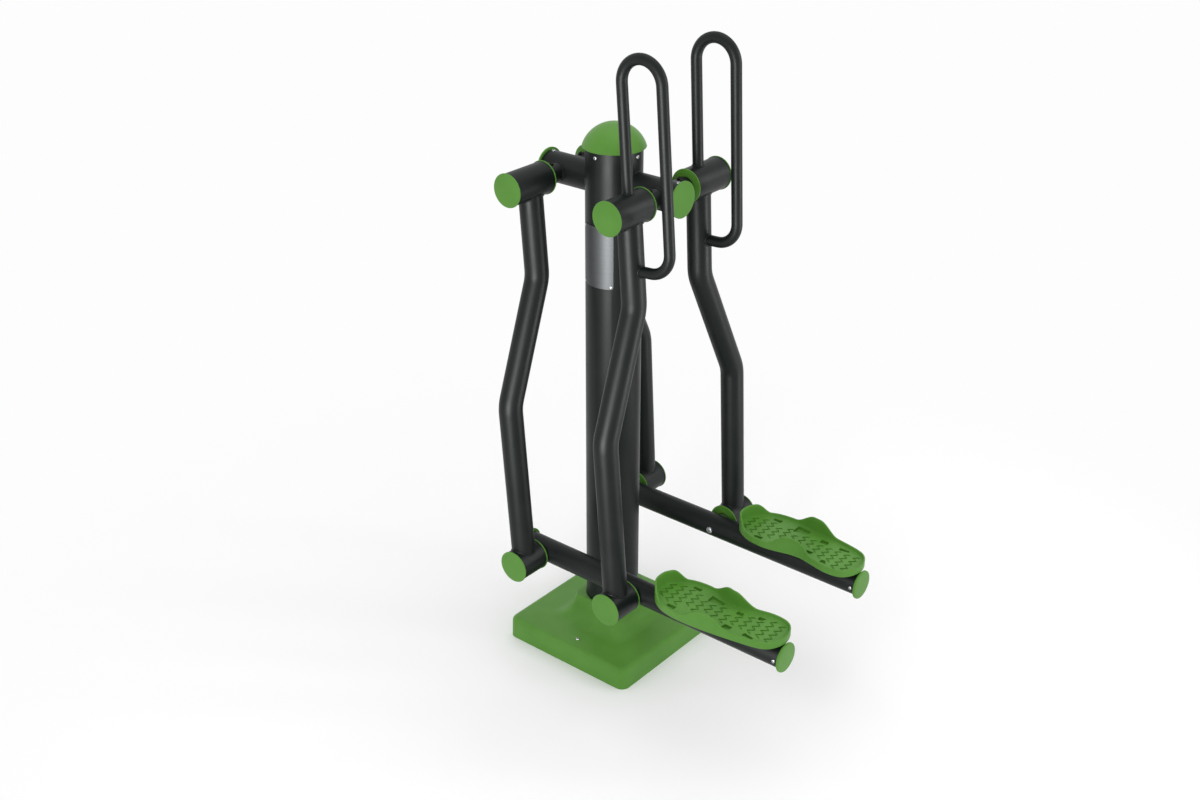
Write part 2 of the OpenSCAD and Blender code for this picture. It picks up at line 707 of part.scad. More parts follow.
module beam_caps(side) {
    color(green) on_beam(side) translate([beam_x, 0, 0]) difference() {
        union() {
            translate([0, -beam_front, 0]) rotate([90, 0, 0]) end_cap(beam_d, beam_wall, beam_cap_lip);
            translate([0, pivot_spread + beam_rear, 0]) rotate([-90, 0, 0])
                end_cap(beam_d, beam_wall, beam_cap_lip);
        }
        for (y = beam_end_screws) translate([0, y, 0]) rotate([0, 90, 0])
            cylinder(d = screw_d + 2 * seat_gap, h = 2 * beam_d, center = true);
    }
}

module beam_cap_screws(side) {
    on_beam(side) translate([beam_x, 0, 0]) for (y = beam_end_screws, turn = [-90, 90])
        translate([0, y, 0]) rotate([0, turn, 0]) tube_screw(beam_d, beam_wall);
}

// The pivot axles of one beam: each passes its outer wall and is drawn up against its inner wall,
// and its collar starts inside the beam, where it is coped
collar_start = beam_x + beam_d / 3;
pivot_axle_start = beam_x + seat_gap
    - sqrt((beam_d / 2 - beam_wall) * (beam_d / 2 - beam_wall) - axle_d * axle_d / 4);
module pivot_axles(side) {
    color(steel) on_beam(side) for (y = [0, pivot_spread]) translate([0, y, 0]) difference() {
        axle(pivot_axle_start, collar_start, lower_hub_x, lower_hub_len);
        difference() {
            translate([beam_x, 0, 0]) rotate([90, 0, 0])
                cylinder(d = beam_d, h = 2 * collar_d, center = true);
            translate([beam_x - beam_d, 0, 0]) rotate([0, 90, 0])
                cylinder(d = axle_d + seat_gap, h = 3 * beam_d);
        }
        translate([pivot_axle_start - cut, 0, 0]) rotate([0, 90, 0])
            cylinder(d = pivot_bolt_d + 2 * seat_gap, h = pivot_bolt_depth + cut);
    }
}

module pivot_bolts(side) {
    seat = beam_d / 2 - sqrt(beam_d * beam_d - pivot_bolt_head_d * pivot_bolt_head_d) / 2;
    color(steel) on_beam(side) for (y = [0, pivot_spread]) translate([beam_x, y, 0]) {
        difference() {
            rotate([0, -90, 0]) translate([0, 0, beam_d / 2])
                screw(pivot_bolt_d, pivot_bolt_head_d, pivot_bolt_head_h, 0, seat);
            rotate([90, 0, 0]) cylinder(d = beam_d, h = 2 * pivot_bolt_head_d, center = true);
        }
        translate([-beam_d / 2 - seat, 0, 0]) rotate([0, 90, 0])
            cylinder(d = pivot_bolt_d, h = 2 * beam_wall + pivot_bolt_depth + seat);
    }
}

module pivot_nuts(side) {
    color(steel) on_beam(side) for (y = [0, pivot_spread])
        translate([0, y, 0]) axle_nut(lower_hub_x, lower_hub_len);
}

module pivot_spacers(side) {
    color(steel) on_beam(side) for (y = [0, pivot_spread])
        translate([0, y, 0]) bearing_spacer(lower_hub_x, lower_hub_len);
}

// Under a footplate: two flat bars across the beam, coped on it, with two bolts each
bar_w = 30;
bar_reach = 52;
bar_sink = 3;
bar_y_shares = [0.30, 0.69];
plate_bolt_x = 40;
plate_z = beam_d / 2 + bracket_t;
bolt_bite = 8;
plate_boss_d = 16;
module plate_brackets(side) {
    color(graphite) on_beam(side) translate([beam_x, 0, 0]) for (share = bar_y_shares)
        translate([0, -plate_toe - share * plate_len, 0]) difference() {
            translate([-bar_reach, -bar_w / 2, beam_d / 2 - bar_sink])
                cube([2 * bar_reach, bar_w, bracket_t + bar_sink]);
            rotate([90, 0, 0]) cylinder(d = beam_d, h = 2 * bar_w, center = true);
            for (x = [-1, 1]) translate([x * plate_bolt_x, 0, 0])
                cylinder(d = bolt_d + 2 * seat_gap, h = beam_d);
        }
}

module plate_bolts(side) {
    color(steel) on_beam(side) translate([beam_x, 0, 0]) for (share = bar_y_shares, x = [-1, 1])
        translate([x * plate_bolt_x, -plate_toe - share * plate_len, beam_d / 2 - bar_sink])
            rotate([180, 0, 0])
                screw(bolt_d, bolt_head_d, bolt_head_h, bracket_t + bar_sink + bolt_bite);
}

// Outline of a footplate, toe first and clockwise: shares of half its breadth, out from the beam,
// and shares of its length, from the toe
sole_shares = [[0.07, 0], [0.37, 0.01], [0.64, 0.045], [0.88, 0.10], [1.05, 0.175], [1.13, 0.27],
    [1.13, 0.375], [1.09, 0.49], [1.01, 0.615], [0.91, 0.74], [0.80, 0.86], [0.65, 0.935],
    [0.37, 0.98], [0, 1], [-0.37, 0.985], [-0.67, 0.945], [-0.81, 0.885], [-0.83, 0.795],
    [-0.73, 0.69], [-0.63, 0.59], [-0.65, 0.50], [-0.75, 0.415], [-0.83, 0.34], [-0.85, 0.26],
    [-0.80, 0.18], [-0.68, 0.115], [-0.47, 0.05], [-0.20, 0.01]];
sole_steps = 3;

// A point on the closed smooth curve through the shares, and the curve as millimetres
function curve_point(a, b, c, d, t) =
    0.5 * (2 * b + (c - a) * t + (2 * a - 5 * b + 4 * c - d) * t * t
        + (3 * b - a - 3 * c + d) * t * t * t);
function sole() =
    let (n = len(sole_shares))
    [for (i = [0 : n - 1], k = [0 : sole_steps - 1])
        let (q = curve_point(sole_shares[(i + n - 1) % n], sole_shares[i],
            sole_shares[(i + 1) % n], sole_shares[(i + 2) % n], k / sole_steps))
        [q[0] * plate_w / 2, -q[1] * plate_len]];

// The same curve drawn inwards by a distance
function inward(line, d) =
    let (n = len(line))
    [for (i = [0 : n - 1])
        let (along = line[(i + 1) % n] - line[(i + n - 1) % n])
        line[i] + d * [along[1], -along[0]] / norm(along)];

// A smooth step from 0 to 1 while x goes from a to b
function step_up(x, a, b) =
    let (t = min(max((x - a) / (b - a), 0), 1)) t * t * (3 - 2 * t);

// Height of the footplate's edge at a share of its length: the toe guard, the plain edge and a
// wing on both sides at mid length
toe_shares = [0.035, 0.125];
wing_shares = [0.315, 0.475, 0.53, 0.69];
function edge_height(share) =
    plate_edge_h
    + (plate_toe_h - plate_edge_h) * (1 - step_up(share, toe_shares[0], toe_shares[1]))
    + (plate_wing_h - plate_edge_h) * step_up(share, wing_shares[0], wing_shares[1])
        * (1 - step_up(share, wing_shares[2], wing_shares[3]));

// Rows of the footplate's rim, from the tread's underside down, round the edge and back to the
// tread. Each gives how far the row lies inside the outline, its height, and how much of the
// edge's height is added
edge_round = 1.2;
tread_slope = 3;
rim_rows = [[plate_wall + tread_slope, plate_floor_h - plate_wall, 0],
    [plate_wall, plate_floor_h - plate_wall, 0], [plate_wall, 0, 0], [edge_round, 0, 0],
    [0, edge_round, 0], [0, -edge_round, 1], [edge_round, 0, 1], [plate_wall - edge_round, 0, 1],
    [plate_wall, -edge_round, 1], [plate_wall + tread_slope, plate_floor_h, 0]];

// The rim round the tread: a ring whose last row meets its first one
module rim() {
    line = sole();
    n = len(line);
    rows = len(rim_rows);
    points = [for (row = rim_rows) let (ring = inward(line, row[0])) for (i = [n - 1 : -1 : 0])
        [ring[i][0], ring[i][1], row[1] + row[2] * edge_height(-line[i][1] / plate_len)]];
    polyhedron(points = points, faces = [for (k = [0 : rows - 1], i = [0 : n - 1])
        let (j = (i + 1) % n, a = k * n, b = ((k + 1) % rows) * n)
        each [[a + i, b + j, a + j], [a + i, b + i, b + j]]]);
}

// The tread inside the rim, with its pockets: open boxes that hang under it
pocket_depth = 7;
pocket_wall = 3;
module tread() {
    difference() {
        union() {
            translate([0, 0, plate_floor_h - plate_wall])
                linear_extrude(plate_wall) polygon(inward(sole(), plate_wall + tread_slope));
            translate([0, 0, plate_floor_h - pocket_depth - pocket_wall])
                linear_extrude(pocket_depth + pocket_wall) pockets(pocket_wall);
        }
        translate([0, 0, plate_floor_h - pocket_depth])
            linear_extrude(pocket_depth + cut) pockets(0);
    }
}

// The pockets seen from above, drawn wider by a wall: their middles and sizes, as shares of half the
// footplate's breadth out from the beam and shares of its length from the toe
pocket_shares = [[-0.56, 0.22, 0.17, 0.060], [0.77, 0.205, 0.20, 0.069], [-0.39, 0.395, 0.27, 0.121],
    [0.75, 0.405, 0.40, 0.110], [-0.27, 0.62, 0.19, 0.055], [0.60, 0.63, 0.24, 0.055],
    [-0.50, 0.758, 0.21, 0.055], [0.57, 0.79, 0.19, 0.082]];
pocket_corner = 3;
pocket_lean = 0.3;
function cut_corners(line, d) =
    let (n = len(line))
    [for (i = [0 : n - 1], next = [-1, 1])
        let (along = line[(i + n + next) % n] - line[i])
        line[i] + d * along / norm(along)];
module pockets(wall) {
    for (pocket = pocket_shares) {
        x = pocket[2] * plate_w / 4 + wall;
        y = pocket[3] * plate_len / 2 + wall;
        lean = (pocket[0] > 0 ? pocket_lean : -pocket_lean) * x;
        translate([pocket[0] * plate_w / 2, -pocket[1] * plate_len])
            polygon(cut_corners([[-x, y - lean], [x, y + lean], [x, -y - lean], [-x, -y + lean]],
                pocket_corner));
    }
}

module footplate(side) {
    color(green) on_beam(side) translate([beam_x, -plate_toe, plate_z]) difference() {
        union() {
            rim();
            tread();
            for (share = bar_y_shares, x = [-1, 1])
                translate([x * plate_bolt_x, -share * plate_len, 0])
                    cylinder(d = plate_boss_d, h = plate_floor_h - plate_wall / 2);
        }
        for (share = bar_y_shares, x = [-1, 1])
            translate([x * plate_bolt_x, -share * plate_len, -cut])
                cylinder(d = bolt_d + 2 * seat_gap, h = bolt_bite + cut + seat_gap);
    }
}

ground_flange();
post();
base_cover();
base_cover_screws();
post_cap();
post_cap_screws();
crossbar();
crossbar_cap(-1);  // crossbar_front_cap
crossbar_cap(1);  // crossbar_rear_cap
crossbar_cap_screws();
axle_sleeves();
stub_axles();
axle_lock_bolts();
axle_nuts();
bearing_spacers();
info_plate();
info_plate_rivets();
for (side = ["left", "right"], end = ["front", "rear"]) {
    arm_tube(side, end);
    upper_hub(side, end);
    lower_hub(side, end);
    hub_caps(side, end);
    bearings(side, end);
}
for (side = ["left", "right"]) {
    handle(side);
    beam(side);
    beam_caps(side);
    beam_cap_screws(side);
    pivot_axles(side);
    pivot_bolts(side);
    pivot_nuts(side);
    pivot_spacers(side);
    plate_brackets(side);
    plate_bolts(side);
    footplate(side);
}
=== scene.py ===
"""The outdoor air walker, dressed for its photograph: powder-coated tubes, moulded green covers,
caps and footplates, and the screws, rivets and welds that hold them."""
import json
import math

import bmesh
import bpy
from mathutils import Matrix, Vector

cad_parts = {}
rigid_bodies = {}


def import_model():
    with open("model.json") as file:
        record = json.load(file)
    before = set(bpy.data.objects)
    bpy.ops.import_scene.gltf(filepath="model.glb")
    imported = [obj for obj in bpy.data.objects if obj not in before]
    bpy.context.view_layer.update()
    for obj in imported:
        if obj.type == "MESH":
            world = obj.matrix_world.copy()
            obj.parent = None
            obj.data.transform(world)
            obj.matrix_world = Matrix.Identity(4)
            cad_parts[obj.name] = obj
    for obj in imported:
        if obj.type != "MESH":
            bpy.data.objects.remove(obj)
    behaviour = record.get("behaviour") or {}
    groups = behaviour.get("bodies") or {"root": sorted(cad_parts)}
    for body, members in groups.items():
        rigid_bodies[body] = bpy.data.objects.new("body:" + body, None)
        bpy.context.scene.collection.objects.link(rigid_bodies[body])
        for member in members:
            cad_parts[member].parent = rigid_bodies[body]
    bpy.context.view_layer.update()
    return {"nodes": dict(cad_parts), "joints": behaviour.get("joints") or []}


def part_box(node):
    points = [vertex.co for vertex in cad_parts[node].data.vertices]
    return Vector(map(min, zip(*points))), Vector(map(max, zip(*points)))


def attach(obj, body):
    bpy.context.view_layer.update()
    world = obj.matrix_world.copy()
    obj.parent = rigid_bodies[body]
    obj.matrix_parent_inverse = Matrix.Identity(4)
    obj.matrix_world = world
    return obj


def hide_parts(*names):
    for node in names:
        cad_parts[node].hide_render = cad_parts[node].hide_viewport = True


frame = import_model()

MM = 0.001
QUARTER, FULL = math.pi / 2, 2 * math.pi
# Radius left open at a pole in millimetres, so that its faces have a width
POLE_R = 0.01
SIDES = {"left": -1, "right": 1}
ENDS = ("front", "rear")

# Sizes in millimetres, as the CAD model has them
POST_R = 69.85
CROSSBAR_R, CROSSBAR_END, CROSSBAR_WALL = 38.05, 202.0, 3.6
HUB_R, CAP_LIP, CAP_T = 40.0, 2.0, 3.0
UPPER_HUB_X, UPPER_HUB_LEN = 82.5, 131.0
LOWER_HUB_X, LOWER_HUB_LEN = 223.5, 87.0
COLLAR_HOLE_R, BEARING_R = 20.0, 31.0
ARM_R, ARM_TOP_X, ARM_FOOT_X, ARM_LENGTH = 30.15, 133.0, 267.0, 970.0
HANDLE_R, HANDLE_DROP = 13.45, 143.7
BEAM_R, BEAM_WALL, BEAM_X = 30.15, 3.0, 189.5
BEAM_FRONT, BEAM_REAR, PIVOT_SPREAD = 445.0, 47.0, 303.0
SLEEVE_R, LOCK_BOLT_X = 24.15, 56.275
COVER_HALF, COVER_SIDE_H, COVER_RIM_H = 201.5, 60.0, 126.0
COVER_SCREW = (163.0, 13.0)
CAP_SCREW_IN, POST_SCREW_DROP = 11.0, 13.0
PLUG_GAP, PLUG_LEN, HUB_PLUG_LEN, TUBE_CAP_T = 0.05, 22.0, 4.0, 6.0
PLATE_TOE, PLATE_LEN, PLATE_HALF, PLATE_Z = 81.0, 364.0, 75.0, 37.15
FLOOR_H, EDGE_H, TOE_H, WING_H, POCKET_DEPTH = 10.5, 19.0, 45.0, 48.0, 7.0
# The four bolts under a footplate: how far out, at which shares of its length, and the underside of
# their bars
PLATE_BOLT_X, PLATE_BOLT_SHARES, BAR_FOOT = 40.0, (0.30, 0.69), 27.15

# Where the pivots are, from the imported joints
pivots = {j["name"]: Vector(j["pos_m"]) / MM for j in frame["joints"]}
pivot_z = pivots["left_front_swing"].z


def lean(side):
    """How far the arms of one side hang from the vertical at rest, in radians."""
    top, foot = pivots[side + "_front_swing"], pivots[side + "_beam_pivot"]
    return math.atan2(top.y - foot.y, top.z - foot.z)


def on_arm(side, end):
    """Takes a piece drawn round an arm's upper pivot to where that arm hangs, in millimetres."""
    top = pivots[f"{side}_{end}_swing"]
    return (Matrix.Translation((0, top.y, top.z)) @ Matrix.Rotation(-lean(side), 4, "X")
            @ Matrix.Diagonal((SIDES[side], 1, 1, 1)))


def on_beam(side):
    """Takes a piece drawn round a beam's front pivot, the beam's middle at x = 0, to its beam."""
    foot = pivots[side + "_beam_pivot"]
    return (Matrix.Translation((SIDES[side] * BEAM_X, foot.y, foot.z))
            @ Matrix.Diagonal((SIDES[side], 1, 1, 1)))


def angles(whole, count, last=False):
    """The angles that part a whole one into equal steps, from 0, and the whole one if asked."""
    return [whole * k / count for k in range(count + last)]


def aim(point, axis):
    """Takes a piece drawn along +Z from the origin to a point, along an axis."""
    return Matrix.Translation(point) @ Vector(axis).to_track_quat("Z", "Y").to_matrix().to_4x4()


# Node trees

def feed(tree, node, links):
    """Links sockets to the inputs of a node."""
    for key, socket in links.items():
        tree.links.new(socket, node.inputs[key])


def add(tree, kind, settings=None, links=None):
    """Adds a node with its settings and the sockets that feed it."""
    made = tree.nodes.new(kind)
    for key, value in (settings or {}).items():
        if isinstance(key, int) or (key in made.inputs and not hasattr(made, key)):
            made.inputs[key].default_value = value
        else:
            setattr(made, key, value)
    feed(tree, made, links or {})
    return made


def geometry_tree(name, inputs):
    """A new Geometry Nodes tree with its named inputs, and the node that gives them."""
    tree = bpy.data.node_groups.new(name, "GeometryNodeTree")
    for label, kind in [("Geometry", "Geometry")] + inputs:
        tree.interface.new_socket(label, in_out="INPUT", socket_type="NodeSocket" + kind)
    tree.interface.new_socket("Geometry", in_out="OUTPUT", socket_type="NodeSocketGeometry")
    return tree, add(tree, "NodeGroupInput")


def use_tree(piece, tree, *values):
    """Puts a Geometry Nodes tree on a piece, with a value for each of its named inputs."""
    made = piece.modifiers.new(tree.name, "NODES")
    made.node_group = tree
    inputs = [s.identifier for s in tree.interface.items_tree if s.in_out == "INPUT"]
    for key, value in zip(inputs[1:], values):
        made[key] = value


def make_real(piece):
    """Turns what a piece's modifiers give into its own plain mesh."""
    bpy.context.view_layer.update()
    ready = piece.evaluated_get(bpy.context.evaluated_depsgraph_get())
    mesh = bpy.data.meshes.new_from_object(ready)
    piece.modifiers.clear()
    piece.data = mesh


def linear(code):
    """An sRGB hex colour as linear values."""
    parts = [int(code[i:i + 2], 16) / 255 for i in (1, 3, 5)]
    return tuple(c / 12.92 if c <= 0.04045 else ((c + 0.055) / 1.055) ** 2.4 for c in parts) + (1,)


def finish(name, **shader):
    """A new material with its surface shader set, its tree and the object's own coordinates."""
    material = bpy.data.materials.new(name)
    material.use_nodes = True
    tree = material.node_tree
    surface = tree.nodes["Principled BSDF"]
    for key, value in shader.items():
        surface.inputs[key.replace("_", " ")].default_value = value
    place = add(tree, "ShaderNodeTexCoord").outputs["Object"]
    return material, tree, surface, place


# Graphite polyester powder coat, sprayed on steel and baked. It is satin with a shallow orange
# peel, and a touch paler and duller in patches.
graphite, tree, surface, place = finish("Satin graphite powder coat", Roughness=0.42,
                                        Specular_IOR_Level=0.18)
# Real orange peel is 1 to 2 mm across; drawn 6 mm wide so that it shows
peel = add(tree, "ShaderNodeTexNoise", {"Scale": 160.0, "Detail": 2.0}, {"Vector": place})
# The patches are about 70 mm across, as the spray gun's passes leave them
patches = add(tree, "ShaderNodeTexNoise", {"Scale": 14.0, "Detail": 4.0}, {"Vector": place})
shade = add(tree, "ShaderNodeMapRange", {"From Min": 0.3, "From Max": 0.7},
            {"Value": patches.outputs[0]})
colour = add(tree, "ShaderNodeMix",
             {"data_type": "RGBA", 6: linear("#101615"), 7: linear("#161b1a")},
             {0: shade.outputs[0]})
dull = add(tree, "ShaderNodeMapRange",
           {"From Min": 0.3, "From Max": 0.7, "To Min": 0.39, "To Max": 0.46},
           {"Value": patches.outputs[0]})
bump = add(tree, "ShaderNodeBump", {"Strength": 0.10, "Distance": 0.0004},
           {"Height": peel.outputs[0]})
feed(tree, surface, {"Base Color": colour.outputs[2], "Roughness": dull.outputs[0],
                     "Normal": bump.outputs[0]})

# Green polypropylene, injection moulded and stable in sunlight. The mould leaves a fine spark
# grain and slow shifts of shade where the melt flowed; it has a low, broad sheen.
green, tree, surface, place = finish("Moulded green polypropylene", Roughness=0.44,
                                     Specular_IOR_Level=0.30)
# Real spark grain is 0.2 mm; drawn 2 mm wide so that it shows
grain = add(tree, "ShaderNodeTexNoise", {"Scale": 520.0, "Detail": 3.0}, {"Vector": place})
# Melt flow shows over 90 mm
flow = add(tree, "ShaderNodeTexNoise", {"Scale": 11.0, "Detail": 3.0}, {"Vector": place})
mix = add(tree, "ShaderNodeMath", {"operation": "MULTIPLY_ADD", 1: 0.35},
          {0: grain.outputs[0], 2: flow.outputs[0]})
shade = add(tree, "ShaderNodeMapRange", {"From Min": 0.45, "From Max": 0.9},
            {"Value": mix.outputs[0]})
colour = add(tree, "ShaderNodeMix",
             {"data_type": "RGBA", 6: linear("#4e842b"), 7: linear("#598f36")},
             {0: shade.outputs[0]})
dull = add(tree, "ShaderNodeMapRange", {"To Min": 0.40, "To Max": 0.48},
           {"Value": grain.outputs[0]})
bump = add(tree, "ShaderNodeBump", {"Strength": 0.12, "Distance": 0.0003},
           {"Height": grain.outputs[0]})
feed(tree, surface, {"Base Color": colour.outputs[2], "Roughness": dull.outputs[0],
                     "Normal": bump.outputs[0]})

# A2 stainless steel, turned heads left bare: grey, with the soft scatter of a tumbled part.
stainless, tree, surface, place = finish("Bare stainless steel", Metallic=1.0, Roughness=0.4)
# Tumbling marks are 0.5 mm; drawn 1.2 mm wide so that they show
marks = add(tree, "ShaderNodeTexNoise", {"Scale": 800.0, "Detail": 2.0}, {"Vector": place})
colour = add(tree, "ShaderNodeMix",
             {"data_type": "RGBA", 6: linear("#9a9c9e"), 7: linear("#b6b8ba")},
             {0: marks.outputs[0]})
dull = add(tree, "ShaderNodeMapRange", {"To Min": 0.34, "To Max": 0.48},
           {"Value": marks.outputs[0]})
feed(tree, surface, {"Base Color": colour.outputs[2], "Roughness": dull.outputs[0]})

# Black oxide on alloy steel, dipped and oiled: near black with a faint brown cast.
black_oxide, tree, surface, place = finish("Black oxide steel", Metallic=1.0, Roughness=0.42)
# The oxide's mottle is under 1 mm; drawn 2 mm wide so that it shows
marks = add(tree, "ShaderNodeTexNoise", {"Scale": 500.0, "Detail": 2.0}, {"Vector": place})
colour = add(tree, "ShaderNodeMix",
             {"data_type": "RGBA", 6: linear("#1c1b1a"), 7: linear("#2e2c2a")},
             {0: marks.outputs[0]})
feed(tree, surface, {"Base Color": colour.outputs[2]})

# Bright steel, turned and zinc plated: the axles, nuts, spacers and bearing rings in the hubs.
zinc, tree, surface, place = finish("Turned zinc-plated steel", Metallic=1.0, Roughness=0.34)
# Turning marks run round each axle, so they follow each other along X; real ones are 0.2 mm
# apart, drawn 1 mm apart
turned = add(tree, "ShaderNodeMapping", {"Scale": (1000.0, 40.0, 40.0)}, {"Vector": place})
marks = add(tree, "ShaderNodeTexNoise", {"Scale": 1.0, "Detail": 2.0},
            {"Vector": turned.outputs[0]})
colour = add(tree, "ShaderNodeMix",
             {"data_type": "RGBA", 6: linear("#8f9193"), 7: linear("#b5b7b8")},
             {0: marks.outputs[0]})
dull = add(tree, "ShaderNodeMapRange", {"To Min": 0.26, "To Max": 0.42},
           {"Value": marks.outputs[0]})
feed(tree, surface, {"Base Color": colour.outputs[2], "Roughness": dull.outputs[0]})

# Anodised aluminium sheet, brushed across the post: grey, with fine level streaks.
brushed, tree, surface, place = finish("Brushed anodised aluminium", Metallic=1.0, Roughness=0.42)
# Brush lines are 0.3 mm apart; drawn 1.5 mm apart so that they show, and 60 mm long
along = add(tree, "ShaderNodeMapping", {"Scale": (16.0, 16.0, 640.0)}, {"Vector": place})
lines = add(tree, "ShaderNodeTexNoise", {"Scale": 1.0, "Detail": 4.0}, {"Vector": along.outputs[0]})
colour = add(tree, "ShaderNodeMix",
             {"data_type": "RGBA", 6: linear("#434546"), 7: linear("#585a5b")},
             {0: lines.outputs[0]})
dull = add(tree, "ShaderNodeMapRange", {"To Min": 0.42, "To Max": 0.58},
           {"Value": lines.outputs[0]})
bump = add(tree, "ShaderNodeBump", {"Strength": 0.08, "Distance": 0.0002},
           {"Height": lines.outputs[0]})
feed(tree, surface, {"Base Color": colour.outputs[2], "Roughness": dull.outputs[0],
                     "Normal": bump.outputs[0]})


# Meshes

def shape(name, points, faces, place=Matrix.Identity(4)):
    """A mesh object at the origin from points in millimetres, set in place, with faces outward."""
    scale = Matrix.Scale(MM, 4)
    mesh = bpy.data.meshes.new(name)
    mesh.from_pydata([scale @ (place @ Vector(p)) for p in points], [], faces)
    if place.determinant() < 0:
        mesh.flip_normals()
    made = bpy.data.objects.new(name, mesh)
    bpy.context.scene.collection.objects.link(made)
    return made


def loft(rings, close=False):
    """Points and faces through rings of points, its ends capped or the last joined to the first."""
    n, rows = len(rings[0]), len(rings)
    points = [p for ring in rings for p in ring]
    faces = []
    for k in range(rows if close else rows - 1):
        a, b = k * n, (k + 1) % rows * n
        faces += [(a + i, a + (i + 1) % n, b + (i + 1) % n, b + i) for i in range(n)]
    if not close:
        faces += [tuple(range(n - 1, -1, -1)), tuple(range((rows - 1) * n, rows * n))]
    return points, faces


def turned_profile(profile, steps=96, close=False):
    """Points and faces of a profile (radius, height), from its foot outside up, turned round Z."""
    turns = [(math.cos(a), math.sin(a)) for a in angles(FULL, steps)]
    return loft([[(r * c, r * s, h) for c, s in turns] for r, h in profile], close)


def pipe(name, outer, hole, low, high, place):
    """An upright pipe from one height to another."""
    wall = [(outer, low), (outer, high), (hole, high), (hole, low)]
    return shape(name, *turned_profile(wall, 32, True), place)


def joined(name, parts):
    """One object from several."""
    into = bmesh.new()
    for part in parts:
        into.from_mesh(part.data)
        old = part.data
        bpy.data.objects.remove(part)
        bpy.data.meshes.remove(old)
    mesh = bpy.data.meshes.new(name)
    into.to_mesh(mesh)
    into.free()
    made = bpy.data.objects.new(name, mesh)
    bpy.context.scene.collection.objects.link(made)
    return made


def outward(piece):
    """Turns all the faces of a closed piece outward."""
    work = bmesh.new()
    work.from_mesh(piece.data)
    bmesh.ops.recalc_face_normals(work, faces=work.faces)
    work.to_mesh(piece.data)
    work.free()
    return piece


def set_edges(mesh, angle):
    """Smooth faces with an edge wherever two faces meet at more than the angle, in degrees."""
    work = bmesh.new()
    work.from_mesh(mesh)
    for face in work.faces:
        face.smooth = True
    for edge in work.edges:
        edge.smooth = len(edge.link_faces) == 2 and edge.calc_face_angle(0) < math.radians(angle)
    work.to_mesh(mesh)
    work.free()


def dress(piece, body, material, replaced, angle):
    """Finishes a piece: its material, edges, body and the CAD nodes it stands for, which it hides.
    """
    piece.data.materials.clear()
    piece.data.materials.append(material)
    set_edges(piece.data, angle)
    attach(piece, body)
    if replaced:
        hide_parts(*replaced)


def smooth_curve(points, steps):
    """A closed smooth curve through points of any number of values."""
    n, out = len(points), []
    for i in range(n):
        a, b, c, d = (points[(i + k) % n] for k in (-1, 0, 1, 2))
        for k in range(steps):
            t = k / steps
            out.append(tuple(0.5 * (2 * q + (r - p) * t + (2 * p - 5 * q + 4 * r - s) * t * t
                                    + (3 * q - p - 3 * r + s) * t ** 3)
                             for p, q, r, s in zip(a, b, c, d)))
    return out


# The CAD nodes that show as they are: smooth round, with an edge where faces turn sharply

edges, given = geometry_tree("Smooth round faces",
                             [("Joining distance", "Float"), ("Edge angle", "Float")])
merged = add(edges, "GeometryNodeMergeByDistance", None,
             {0: given.outputs[0], "Distance": given.outputs[1]})
faces_smooth = add(edges, "GeometryNodeSetShadeSmooth", {"domain": "FACE", "Shade Smooth": True},
                   {0: merged.outputs[0]})
between = add(edges, "GeometryNodeInputMeshEdgeAngle")
sharp = add(edges, "FunctionNodeCompare", {"operation": "GREATER_THAN"},
            {0: between.outputs[0], 1: given.outputs[2]})
edged = add(edges, "GeometryNodeSetShadeSmooth", {"domain": "EDGE", "Shade Smooth": False},
            {0: faces_smooth.outputs[0], "Selection": sharp.outputs[0]})
add(edges, "NodeGroupOutput", None, {0: edged.outputs[0]})

# Metres, and the turn from which an edge shows
JOIN_WITHIN, CAD_EDGE = 0.00001, math.radians(28)


def keep(node, material):
    """Shows a CAD node with a finish and smooth round faces."""
    piece = frame["nodes"][node]
    piece.data.materials.clear()
    piece.data.materials.append(material)
    use_tree(piece, edges, JOIN_WITHIN, CAD_EDGE)


for node in ("ground_flange", "post", "crossbar", "axle_sleeves"):
    keep(node, graphite)
for node in ("stub_axles", "axle_nuts", "bearing_spacers"):
    keep(node, zinc)
for side in SIDES:
    for piece in ("handle", "beam", "plate_brackets"):
        keep(f"{side}_{piece}", graphite)
    for piece in ("pivot_axles", "pivot_nuts", "pivot_spacers"):
        keep(f"{side}_{piece}", zinc)
    for end in ENDS:
        for piece in ("arm_tube", "upper_hub", "lower_hub"):
            keep(f"{side}_{end}_{piece}", graphite)
        keep(f"{side}_{end}_bearings", zinc)


# The base cover

# The flank from the roof to the ring round the post: share of its width inward, share of its height
FLANK = [(0, 0), (0.22, 0.02), (0.44, 0.08), (0.62, 0.19), (0.75, 0.34), (0.84, 0.51), (0.91, 0.71),
         (0.97, 0.90), (1, 1)]
COVER_DRAFT, COVER_EDGE_R, COVER_ROOF_W, COVER_WALL, RING_EDGE = 1.0, 15.0, 56.5, 4.0, 2.0
COVER_CORNER_R, RING_CORNER_R = 24.0, 22.0
FOOT_DRAFT, FOOT_H, BORE_GAP, BORE_EDGE, RING_LAND = 0.1, 2.0, 0.6, 0.8, 5.0
PILLAR_R, PILLAR_HOLE_R, PILLAR_LOW, PILLAR_TOP = 6.0, 2.55, 12.0, 56.5
COVER_BORE_R = POST_R + BORE_GAP
RING_HALF = COVER_BORE_R + RING_LAND
FLANK_W = COVER_HALF - COVER_DRAFT - COVER_EDGE_R - COVER_ROOF_W - RING_HALF


